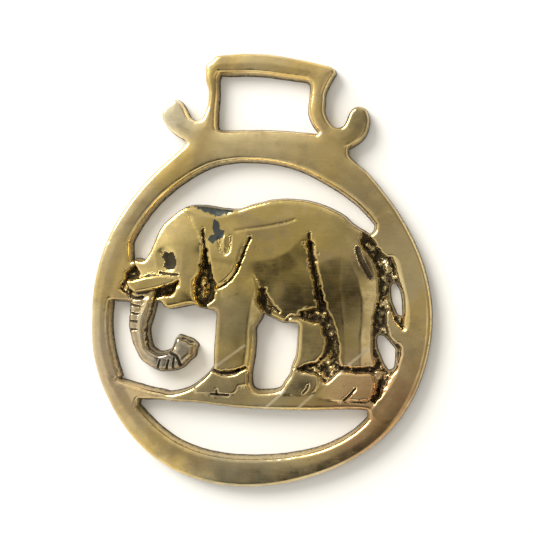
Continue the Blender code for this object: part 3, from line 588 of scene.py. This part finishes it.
def frontHeights(points, toRim):  # heights, and the same without the falling edges
    fromCentre = points - openingCentre
    angle = np.arctan2(fromCentre[:, 1], fromCentre[:, 0])
    intoBand = np.hypot(*fromCentre.T) - plate["openingRadius"] - wander(angle, openingWander)
    bandHalf = (plate["ringRadius"] - plate["openingRadius"]) / 2
    crown = plate["ringCrown"] * (
        1 - (1 - np.clip(np.minimum(intoBand, toRim) / bandHalf, 0, 1)) ** 2)
    step = rounded((intoBand + casting["bandStart"]) / casting["bandWidth"], casting["lipPower"])
    floor = casting["pitFloor"] + surface["pitDepth"] * grain(points, surface["pitSize"], "pit")
    for (x, y), reach, rise in floorRises:
        floor += rise * np.exp(-((fromCentre - (x, y)) ** 2).sum(1) / reach ** 2)
    top = floor + (plate["ringTop"] - plate["ringCrown"] - floor) * step + crown * step
    ragged = surface["raggedEdge"] * grain(points, surface["raggedSize"], "ragged")
    for form in forms.values():
        loop = smoothRun(figure(form["outline"]), True)[::2]
        depth = np.where(inside(points, loop), 1, -1) * lineDistance(points, loop, True, 0.5)
        if form.get("overRim"):
            depth = depth + casting["overRim"] * np.clip(1 - toRim / casting["overRimReach"], 0, 1)
        depth = depth + ragged * np.clip(surface["raggedBelow"] - top, 0, 1)
        peak = np.full(len(points), form["height"])
        for direction, start, slope, soft in form.get("planes", ()):
            beyond = (fromCentre @ np.array(direction) - start) / soft
            peak -= slope * soft * np.log1p(np.exp(np.clip(beyond, -30, 30)))
        for crease, rest, slope, soft, (direction, start, end) in form.get("facets", ()):
            within = inside(points, figure(crease + rest))
            away = lineDistance(points[within], figure(crease), False, 40)
            share = np.clip((fromCentre[within] @ np.array(direction) - start) / (end - start), 0, 1)
            peak[within] -= slope * (np.hypot(away, soft) - soft) * share ** 2 * (3 - 2 * share)
        foot = casting["formFoot"]
        height = foot + np.maximum(peak - foot, 0) * rounded(depth / form["edge"], casting["formPower"])
        height = np.where(depth < 0, foot + casting["skirtSlope"] * np.maximum(depth, -1), height)
        raised = np.nonzero(depth > -casting["skirt"])[0]
        top[raised] = softMax(top[raised], height[raised], casting["blend"])
    polished = np.clip(top - casting["polishedFrom"], 0, 1)
    for (x, y), (across, up), height in swells.values():
        away = (points - openingCentre - (x, y)) / (across, up)
        top += height * polished * np.exp(-(away ** 2).sum(1))
    top += surface["wave"] * grain(points, surface["waveSize"], "wave", 2)
    top += surface["ripple"] * grain(points, surface["rippleSize"], "ripple", 1)
    uneven = 1 + surface["cutUneven"] * grain(points, surface["cutUnevenSize"], "cut", 2)
    for line, height, half in ridges.values():
        away = lineDistance(points, smoothRun(figure(line))[::2], False, half) / half
        top += height * bell(away, surface["ridgePower"])
    for group, unevenness in ((cuts, 1.0), (roughCuts, uneven)):
        for line, depth, half in group.values():
            away = lineDistance(points, smoothRun(figure(line))[::2], False, 2 * half) * unevenness / half
            cut = depth * bell(away, surface["cutPower"])
            top = np.where(cut > 0, np.maximum(top - cut, np.minimum(top, floor)), top)
    lip = np.minimum(casting["lip"], casting["thinLip"] * top)
    return top - lip * (1 - rounded(toRim / casting["lipWidth"], casting["lipPower"])), top


def hollows(bm, tops, points):  # how far each point of the front lies under its surroundings
    ends = np.array([[v.index for v in e.verts] for e in bm.edges])
    ends = np.concatenate([ends, ends[:, ::-1]])
    counts = np.bincount(ends[:, 0], minlength=len(tops))
    around = tops.copy()
    for _ in range(surface["hollowRounds"]):
        around = np.bincount(ends[:, 0], weights=around[ends[:, 1]], minlength=len(tops)) / counts
    under = np.clip((around - tops) / surface["hollowDepth"], -1, 1)
    low = np.clip((surface["floorFrom"] - tops) / surface["floorSpan"], -1, 1) * surface["floorGrime"]
    glints = surface["floorGlints"] * np.maximum(grain(points, surface["glintSize"], "glint"), 0)
    return np.maximum(under, low - glints * (low > 0))


def positions(bm):
    return np.array([v.co[:] for v in bm.verts])


def rimLoops(bm):  # the open edges of the front, each as one ring of vertices in order
    waiting = {v for v in bm.verts if v.is_boundary}
    loops = []
    while waiting:
        vert = min(waiting, key=lambda v: v.index)
        loop = []
        while vert is not None:
            loop.append(vert)
            waiting.discard(vert)
            vert = next((e.other_vert(vert) for e in vert.link_edges
                         if e.is_boundary and e.other_vert(vert) in waiting), None)
        loops.append(loop)
    return loops


def snapToRims(loops, rims):  # moves the front's jagged edge onto the drawn outline, evenly spaced
    for loop in loops:
        spots = np.array([v.co[:2] for v in loop])
        for _ in range(casting["snapRounds"]):
            found, _ = rims.nearest(spots)
            spots = rims.points[found]
            spots = 0.5 * spots + 0.25 * (np.roll(spots, 1, axis=0) + np.roll(spots, -1, axis=0))
        found, _ = rims.nearest(spots)
        for vert, spot in zip(loop, rims.points[found]):
            vert.co = (spot[0], spot[1], 0)


def wallDown(bm, loop, rims, outerCount):  # draws one wall from its rim to the back, ring by ring
    start = np.array([v.co[:] for v in loop])
    found, _ = rims.nearest(start[:, :2])
    draft = casting["outerDraft" if found[0] < outerCount else "holeDraft"]
    out = rims.out[found]
    for _ in range(casting["wallEase"]):
        out = 0.5 * out + 0.25 * (np.roll(out, 1, axis=0) + np.roll(out, -1, axis=0))
    wall, hollow = (bm.verts.layers.float[name] for name in ("wall", "hollow"))
    for lean, drop in casting["wallRings"]:
        edges = [bm.edges.get((v, w)) for v, w in zip(loop, loop[1:] + loop[:1])]
        made = set(bmesh.ops.extrude_edge_only(bm, edges=edges)["geom"])
        loop = [next(e.other_vert(v) for e in v.link_edges if e.other_vert(v) in made) for v in loop]
        for vert, (x, y, z), (across, along) in zip(loop, start, out):
            rough = surface["wallRough"] * noise.noise(Vector((x, y, 3 * drop)) * 0.6) * lean
            reach = draft * lean + rough
            vert.co = (x + across * reach, y + along * reach, z * (1 - drop))
            vert[wall] = 1
            vert[hollow] = casting["wallDarkening"] * drop
    return [bm.edges.get((v, w)) for v, w in zip(loop, loop[1:] + loop[:1])]


def jagged(loop, amount):  # the same loop, with the small bumps of a cast edge
    bumps = grain(loop, surface["jitterSize"], "jitter")
    return loop + sideways(loop) * (amount * bumps)[:, None]


def frontSheet(outer, drawn):  # a flat grid of the front, cut to the outline and the openings
    low, high = outer.min(0), outer.max(0)
    middle = (low + high) / 2
    span = high - low
    counts = [int(math.ceil(s / casting["cell"])) for s in span]
    bm = bmesh.new()
    for name in ("hollow", "wall", "paleStreak", "napeReflection"):
        bm.verts.layers.float.new(name)
    stretch = Matrix.Diagonal((span[0] / 2, span[1] / 2, 1, 1))
    place = Matrix.Translation((middle[0], middle[1], 0)) @ stretch
    bmesh.ops.create_grid(bm, x_segments=counts[0], y_segments=counts[1], size=1, matrix=place)
    centres = np.array([f.calc_center_median()[:2] for f in bm.faces])
    solid = inside(centres, drawn[0])
    for hole in drawn[1:]:
        solid &= ~inside(centres, hole)
    bmesh.ops.delete(bm, geom=[f for f, keep in zip(list(bm.faces), solid) if not keep], context="FACES")
    bm.verts.index_update()
    print("front grid:", len(bm.faces), "faces")
    return bm, middle


def fitToRims(bm, rims):  # takes the sheet's edge to the rims and evens out the cells behind it
    loops = rimLoops(bm)
    snapToRims(loops, rims)
    _, toRim = rims.nearest(positions(bm)[:, :2])
    loose = [v for v, d in zip(bm.verts, toRim) if d < casting["relaxReach"] and not v.is_boundary]
    for _ in range(casting["relaxRounds"]):
        bmesh.ops.smooth_vert(bm, verts=loose, factor=0.5, use_axis_x=True, use_axis_y=True)
    return loops


def paleStreakMarks(points):
    marks = np.zeros(len(points))
    width = surface["paleStreakWidth"]
    for line in paleStreaks:
        away = lineDistance(points, figure(line), False, 1.2 * width)
        marks = np.maximum(marks, bell(away / width))
    return marks


def paintedNapeReflections(points):
    # painted dark reflection on the nape: full inside each outline, fading over its softness
    napeDarkness = np.zeros(len(points))
    ragged = surface["napeReflectionRagged"] * grain(points, surface["napeReflectionGrain"], "napeReflection")
    for outline, strength, soft in napeReflections:
        loop = figure(outline)
        depth = np.where(inside(points, loop), 1, -1) * lineDistance(points, loop, True, 2.0)
        napeDarkness = np.maximum(napeDarkness, strength * np.clip(0.5 + depth / soft + ragged, 0, 1))
    return napeDarkness


def grimeMarks(bm, tops, points):
    sunken = hollows(bm, tops, points)
    sunken = np.where(inside(points, figure(eyeBlack)), surface["eyeGrime"], sunken)
    for name in darkCuts:
        line, _, half = cuts[name]
        away = lineDistance(points, smoothRun(figure(line)), False, 1.0) / (surface["cutGrimeWidth"] * half)
        sunken = np.maximum(sunken, surface["cutGrime"] * bell(away))
    return sunken


def brassMesh():
    outer = outerLoop()
    jitter = surface["edgeJitter"]
    drawn = [jagged(outer + sideways(outer) * casting["outerDraft"], jitter * casting["outerJitter"])]
    drawn += [jagged(hole, jitter) for hole in [slotLoop()] + openLoops()]
    rims = Rims(drawn)
    bm, middle = frontSheet(outer, drawn)
    loops = fitToRims(bm, rims)

    points = positions(bm)[:, :2]
    _, toRim = rims.nearest(points)
    heights, tops = frontHeights(points, toRim)
    marks = paleStreakMarks(points)
    # where the dark reflection on the nape is painted
    napeDarkness = paintedNapeReflections(points)
    sunken = grimeMarks(bm, tops, points)
    bm.verts.index_update()
    layers = {name: bm.verts.layers.float[name] for name in ("hollow", "paleStreak", "napeReflection")}
    for vert, z, hollow, mark, napeDarknessHere in zip(bm.verts, heights, sunken, marks, napeDarkness):
        vert.co.z = z
        vert[layers["hollow"]] = hollow
        vert[layers["paleStreak"]] = mark
        vert[layers["napeReflection"]] = napeDarknessHere
    print("front relief done,", len(loops), "rims")

    foot = []
    for loop in loops:
        foot += wallDown(bm, loop, rims, len(outer))
    bmesh.ops.triangle_fill(bm, edges=foot, use_beauty=True)
    bmesh.ops.translate(bm, verts=bm.verts, vec=(-middle[0], -middle[1], 0))
    bmesh.ops.scale(bm, verts=bm.verts, vec=(mm, mm, mm))
    bmesh.ops.recalc_face_normals(bm, faces=bm.faces)
    return bm


bm = brassMesh()
mesh = bpy.data.meshes.new("horseBrass")
bm.to_mesh(mesh)
bm.free()
mesh.shade_smooth()
mesh.set_sharp_from_angle(angle=math.radians(casting["sharpAngle"]))
brass = bpy.data.objects.new("horse_brass_casting", mesh)
bpy.context.scene.collection.objects.link(brass)
print("casting:", sum(len(p.vertices) - 2 for p in mesh.polygons), "triangles")

# The metal's colours and finish
brassLook = {
    "gold": (0.80, 0.57, 0.20, 1),
    "pale": (0.76, 0.60, 0.31, 1),
    "grime": (0.010, 0.007, 0.004, 1),
    "grimeBrown": (0.085, 0.056, 0.024, 1),
    "tarnish": (0.52, 0.38, 0.19, 1),
    "worn": (0.90, 0.74, 0.38, 1),
    "wall": (0.47, 0.37, 0.18, 1),
    "back": (0.42, 0.33, 0.17, 1),
    "spot": (0.30, 0.19, 0.08, 1),
    "paleStreak": (0.95, 0.90, 0.75, 1),
    # the colour of the painted dark reflection on the nape's bevels
    "napeReflection": (0.052, 0.057, 0.050, 1),
    "blotchTint": (0.62, 0.58, 0.52, 1),
    "stainCore": 0.25,  # share of a stain's reach over which it is full
    "lineTurn": 0.6,  # the fine lines that polishing leaves, turned and drawn out
    "lineStretch": (0.15, 2.4, 1),
    "paleStreakRoughness": 0.38,
    "grimeRoughness": 0.62,
    "napeReflectionRoughness": 0.5,
    "wallRoughness": 0.42,
    "backRoughness": 0.5,
    "wallCast": 0.6,  # how much of the cast colour the walls take
    "grimeCover": 0.96,
    "grimeMetal": 0.8,  # how much the grime takes from the metal's shine
    "grimeGloss": 0.3,
    "grimeUneven": 1.1,
    "wallPits": 0.06,
    "pitBump": 0.16,
    "lineBump": 0.0014,
    "rippleBump": 0.011,
}
# Where each mark starts and where it is full, and its strength at both ends
levels = {
    "pale": (0.38, 0.62),
    "stainEdge": (0.25, 0.6, 0.55, 1.0),
    "tarnish": (0.48, 0.68, 0.0, 0.55),
    "blotch": (0.35, 0.7, 0.0, 0.35),
    "spot": (0.60, 0.72, 0.0, 0.45),
    "worn": (-0.15, -0.8, 0.0, 0.4),
    "paleStreak": (0.3, 0.7, 0.05, 0.4),
    "napeReflection": (0.35, 0.65),
    "wallDarkening": (0.5, 0.8, 0.0, 0.35),
    "behind": (0.35, 0.05),
    "back": (0.35, 0.65),
    "grime": (0.8, 1.35),
    "brownGrime": (0.40, 0.62),
    "shallow": (1.45, 1.15),
    "roughness": (0.3, 0.7, 0.115, 0.255),
    "lineRoughness": (0.45, 0.75, 0.0, 0.07),
}
# Noise in the metal: scale, detail and roughness
clouds = {
    "broad": (0.06, 2.0, 0.5),
    "blotch": (0.4, 4.0, 0.6),
    "fine": (1.6, 4.0, 0.65),
    "grit": (4.0, 3.0, 0.6),
    "lines": (1.6, 5.0, 0.7),
    "dull": (0.17, 3.0, 0.6),
}
# Parts of the front coloured paler or darker: centre, reach, colour and strength. The grey and olive ones on
# the fore leg, thigh, shank and belly are painted dark reflections, and the pale one on the head is partly a
# painted highlight
stains = {
    "goldElephant": ((1.5, 3.0), 33.0, (0.62, 0.455, 0.14, 1), 0.9),
    "paleTop": ((-1.0, 27.0), 15.0, (0.90, 0.72, 0.38, 1), 0.8),
    # painted dark reflection on the fore leg
    "foreLegDarkReflection": ((-5.4, -9.6), 9.0, (0.44, 0.37, 0.19, 1), 0.75),
    "greyGround": ((-9.0, -25.5), 12.0, (0.45, 0.38, 0.23, 1), 0.75),
    "dullHorn": ((19.6, 31.4), 9.0, (0.30, 0.24, 0.12, 1), 0.9),
    "paleHorn": ((-17.6, 31.6), 9.0, (0.95, 0.85, 0.60, 1), 0.8),
    "mutedEar": ((-6.2, 3.6), 7.0, (0.50, 0.38, 0.15, 1), 0.75),
    "mutedRump": ((18.4, 6.6), 7.5, (0.50, 0.38, 0.15, 1), 0.7),
    "brownRump": ((21.2, 1.0), 4.2, (0.16, 0.11, 0.045, 1), 0.9),
    # partly a painted highlight on the head, partly its paler metal
    "headHighlightAndTone": ((-18.4, 1.0), 11.0, (0.88, 0.68, 0.27, 1), 0.85),
    "paleHindFoot": ((18.6, -23.6), 7.0, (0.98, 0.74, 0.36, 1), 0.95),
    "copperLowerRight": ((25.4, -29.9), 20.0, (0.55, 0.31, 0.14, 1), 0.85),
    "rosyLeft": ((-28.6, -19.9), 15.0, (0.70, 0.56, 0.40, 1), 0.65),
    "greyBottom": ((-5.0, -40.9), 15.0, (0.46, 0.42, 0.29, 1), 0.75),
    "oliveTopRight": ((27.0, 17.0), 16.0, (0.47, 0.37, 0.20, 1), 0.8),
    # painted dark reflections on the thigh, the shank and the belly
    "thighDarkReflection": ((15.8, -5.4), 9.5, (0.23, 0.16, 0.05, 1), 0.85),
    "shankDarkReflection": ((16.6, -13.8), 6.5, (0.40, 0.29, 0.09, 1), 0.7),
    "bellyDarkReflection": ((6.6, -4.0), 6.5, (0.40, 0.29, 0.09, 1), 0.6),
    "greyTrunk": ((-17.9, -16.7), 9.0, (0.37, 0.335, 0.27, 1), 0.95),
    "greyTrunkTop": ((-24.6, -9.6), 7.5, (0.50, 0.45, 0.34, 1), 0.75),
}


def node(tree, kind, inputs=(), **settings):
    made = tree.nodes.new(kind)
    for name, value in settings.items():
        setattr(made, name, value)
    for name, value in dict(inputs).items():
        if isinstance(value, bpy.types.NodeSocket):
            tree.links.new(value, made.inputs[name])
        else:
            made.inputs[name].default_value = value
    return made


def maths(tree, operation, a, b=0.0):
    made = node(tree, "ShaderNodeMath", {0: a}, operation=operation)
    if isinstance(b, bpy.types.NodeSocket):
        tree.links.new(b, made.inputs[1])
    else:
        made.inputs[1].default_value = b
    return made.outputs[0]


def ramp(tree, value, low, high, fromLow=0.0, toHigh=1.0):  # a smooth step of a value
    return node(tree, "ShaderNodeMapRange", {
        "Value": value, "From Min": low, "From Max": high, "To Min": fromLow, "To Max": toHigh,
    }, interpolation_type="SMOOTHSTEP").outputs["Result"]


def blend(tree, share, a, b, kind="MIX"):
    made = node(tree, "ShaderNodeMix", data_type="RGBA", blend_type=kind)
    for number, value in ((0, share), (6, a), (7, b)):
        if isinstance(value, bpy.types.NodeSocket):
            tree.links.new(value, made.inputs[number])
        else:
            made.inputs[number].default_value = value
    return made.outputs[2]


def cloud(tree, place, kind):
    scale, detail, roughness = clouds[kind]
    return node(tree, "ShaderNodeTexNoise", {
        "Vector": place, "Scale": scale, "Detail": detail, "Roughness": roughness}).outputs["Fac"]


def level(tree, value, kind):
    return ramp(tree, value, *levels[kind])


def layer(tree, name):
    return node(tree, "ShaderNodeAttribute", attribute_name=name).outputs["Fac"]


def brassMaterial():
    material = bpy.data.materials.new("polishedBrass")
    material.use_nodes = True
    tree = material.node_tree
    shader = tree.nodes["Principled BSDF"]
    look = brassLook
    spot = node(tree, "ShaderNodeTexCoord").outputs["Object"]
    place = node(tree, "ShaderNodeVectorMath", {0: spot, "Scale": 1 / mm}, operation="SCALE").outputs[0]
    height = node(tree, "ShaderNodeSeparateXYZ", {0: place}).outputs["Z"]
    hollow, wall, paleStreak = (layer(tree, name) for name in ("hollow", "wall", "paleStreak"))
    napeReflectionShare = level(tree, layer(tree, "napeReflection"), "napeReflection")

    broad, blotch, fine, grit, dull = (cloud(tree, place, kind)
                                       for kind in ("broad", "blotch", "fine", "grit", "dull"))
    drawn = node(tree, "ShaderNodeMapping", {
        "Vector": place, "Rotation": (0, 0, look["lineTurn"]), "Scale": look["lineStretch"]})
    lines = cloud(tree, drawn.outputs[0], "lines")

    colour = blend(tree, level(tree, broad, "pale"), look["gold"], look["pale"])
    for (x, y), reach, tint, strength in stains.values():
        away = node(tree, "ShaderNodeVectorMath", {0: place, 1: (x, y, plate["ringTop"])},
                    operation="DISTANCE")
        near = ramp(tree, away.outputs["Value"], reach, look["stainCore"] * reach, 0.0, strength)
        near = maths(tree, "MULTIPLY", near, level(tree, blotch, "stainEdge"))
        colour = blend(tree, near, colour, tint)
    colour = blend(tree, level(tree, dull, "tarnish"), colour, look["tarnish"])
    colour = blend(tree, level(tree, blotch, "blotch"), colour, look["blotchTint"], "MULTIPLY")
    colour = blend(tree, level(tree, fine, "spot"), colour, look["spot"])
    colour = blend(tree, level(tree, hollow, "worn"), colour, look["worn"])
    streaked = maths(tree, "MULTIPLY", paleStreak, level(tree, lines, "paleStreak"))
    colour = blend(tree, streaked, colour, look["paleStreak"])

    # painted dark reflection on the nape's bevels
    colour = blend(tree, napeReflectionShare, colour, look["napeReflection"])
    cast = blend(tree, level(tree, fine, "wallDarkening"), look["wall"], look["grimeBrown"])
    colour = blend(tree, maths(tree, "MULTIPLY", wall, look["wallCast"]), colour, cast)
    behind = level(tree, height, "behind")
    rear = blend(tree, level(tree, blotch, "back"), look["back"], look["wall"])
    colour = blend(tree, behind, colour, rear)
    uneven = maths(tree, "MULTIPLY_ADD", fine, look["grimeUneven"])
    tree.links.new(hollow, uneven.node.inputs[2])
    dirty = level(tree, uneven, "grime")
    brownish = maths(tree, "MULTIPLY", level(tree, grit, "brownGrime"), level(tree, hollow, "shallow"))
    grime = blend(tree, brownish, look["grime"], look["grimeBrown"])
    colour = blend(tree, maths(tree, "MULTIPLY", dirty, look["grimeCover"]), colour, grime)
    tree.links.new(colour, shader.inputs["Base Color"])

    rough = level(tree, blotch, "roughness")
    rough = maths(tree, "ADD", rough, level(tree, lines, "lineRoughness"))
    for where, kind in ((paleStreak, "paleStreak"), (dirty, "grime"), (napeReflectionShare, "napeReflection"), (wall, "wall"),
                        (behind, "back")):
        rough = maths(tree, "MAXIMUM", rough, maths(tree, "MULTIPLY", where, look[kind + "Roughness"]))
    tree.links.new(rough, shader.inputs["Roughness"])
    metal = maths(tree, "SUBTRACT", 1.0, maths(tree, "MULTIPLY", dirty, look["grimeMetal"]))
    tree.links.new(metal, shader.inputs["Metallic"])
    gloss = maths(tree, "SUBTRACT", 0.5, maths(tree, "MULTIPLY", dirty, look["grimeGloss"]))
    tree.links.new(gloss, shader.inputs["Specular IOR Level"])

    cover = maths(tree, "MAXIMUM", dirty, behind)
    cover = maths(tree, "MAXIMUM", cover, maths(tree, "MULTIPLY", wall, look["wallPits"]))
    cover = maths(tree, "MULTIPLY", cover, look["pitBump"])
    total = maths(tree, "MULTIPLY", maths(tree, "ADD", fine, grit), cover)
    total = maths(tree, "ADD", total, maths(tree, "ADD", maths(tree, "MULTIPLY", lines, look["lineBump"]),
                                            maths(tree, "MULTIPLY", blotch, look["rippleBump"])))
    bump = node(tree, "ShaderNodeBump", {"Strength": 1.0, "Distance": mm, "Height": total})
    tree.links.new(bump.outputs["Normal"], shader.inputs["Normal"])
    return material


mesh.materials.append(brassMaterial())
print("brass material done")
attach(brass, "root")
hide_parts("horse_brass")


# The studio: a pale floor, soft light from the upper left, and the camera
studio = {
    "floorColour": (0.96, 0.93, 0.865, 1),
    "cameraAt": (30.8, 1.9, 240.0),
    "lookAt": (1.68, 0.79, 3.2),
    "pixelsPerMm": 5.0,
    "sensor": 36,
    "pictureWidth": 533,
    "floorReach": 1.5,
    "floorRoughness": 0.9,
    "windowAt": (-0.5, 0.5, 0.42),
    "windowSize": 0.6,
    "windowPower": 9.0,
    "roomLight": (1.0, 1.0, 1.0, 1),
}
# What the polished metal mirrors: direction, how far it is full and where it ends (degrees), colour
mirrored = {
    "overhead": ((0.09, 0.05, 1.0), 16, 48, (0.44, 0.43, 0.41, 1)),
    "darkEnd": ((-0.06, -0.42, 0.90), 10, 22, (0.06, 0.06, 0.058, 1)),
    "farSide": ((0.92, 0.12, 0.36), 25, 56, (0.34, 0.33, 0.30, 1)),
    "doorway": ((0.41, -0.14, 0.90), 7, 15, (0.80, 0.78, 0.74, 1)),
    "skylight": ((-0.10, 0.55, 0.83), 12, 32, (0.72, 0.71, 0.68, 1)),
    "leftWall": ((-0.42, -0.26, 0.87), 8, 20, (0.80, 0.79, 0.77, 1)),
    "window": ((-0.45, 0.33, 0.83), 8, 22, (0.95, 0.94, 0.90, 1)),
}


def floorPlane():
    bm = bmesh.new()
    bmesh.ops.create_grid(bm, x_segments=1, y_segments=1, size=studio["floorReach"])
    mesh = bpy.data.meshes.new("floor")
    bm.to_mesh(mesh)
    bm.free()
    floor = bpy.data.objects.new("floor", mesh)
    bpy.context.scene.collection.objects.link(floor)
    paper = bpy.data.materials.new("palePaper")
    paper.use_nodes = True
    shader = paper.node_tree.nodes["Principled BSDF"]
    shader.inputs["Base Color"].default_value = studio["floorColour"]
    shader.inputs["Roughness"].default_value = studio["floorRoughness"]
    mesh.materials.append(paper)


def softLight(name, at, size, power):
    data = bpy.data.lights.new(name, "AREA")
    data.shape = "DISK"
    data.size = size
    data.energy = power
    lamp = bpy.data.objects.new(name, data)
    lamp.location = at
    lamp.rotation_euler = (-Vector(at)).to_track_quat("-Z", "Y").to_euler()
    bpy.context.scene.collection.objects.link(lamp)


def viewCamera():
    at = Vector(studio["cameraAt"]) * mm
    target = Vector(studio["lookAt"]) * mm
    forward = (target - at).normalized()
    right = forward.cross(Vector((0, 1, 0))).normalized()
    up = right.cross(forward)
    data = bpy.data.cameras.new("view")
    data.sensor_width = studio["sensor"]
    shown = studio["pictureWidth"] / studio["pixelsPerMm"]  # mm across the picture, at the target
    data.lens = (target - at).length / mm * studio["sensor"] / shown
    camera = bpy.data.objects.new("view", data)
    turn = Matrix((right, up, -forward)).transposed().to_4x4()
    camera.matrix_world = Matrix.Translation(at) @ turn
    data.clip_start = 0.01
    bpy.context.scene.collection.objects.link(camera)
    bpy.context.scene.camera = camera


floorPlane()
softLight("window", studio["windowAt"], studio["windowSize"], studio["windowPower"])
viewCamera()


def lobe(tree, ray, towards, inner, outer):  # 1 near a direction, falling to 0, in degrees
    aim = Vector(towards).normalized()
    cosine = node(tree, "ShaderNodeVectorMath", {0: ray, 1: aim[:]}, operation="DOT_PRODUCT").outputs["Value"]
    return ramp(tree, cosine, math.cos(math.radians(outer)), math.cos(math.radians(inner)))


def room():
    world = bpy.data.worlds.new("studio")
    world.use_nodes = True
    tree = world.node_tree
    ray = node(tree, "ShaderNodeTexCoord").outputs["Generated"]
    colour = studio["roomLight"]
    for towards, full, end, light in mirrored.values():
        colour = blend(tree, lobe(tree, ray, towards, full, end), colour, light)
    tree.links.new(colour, tree.nodes["Background"].inputs["Color"])
    bpy.context.scene.world = world


room()
bpy.context.scene.view_settings.view_transform = "Standard"
print("studio done")
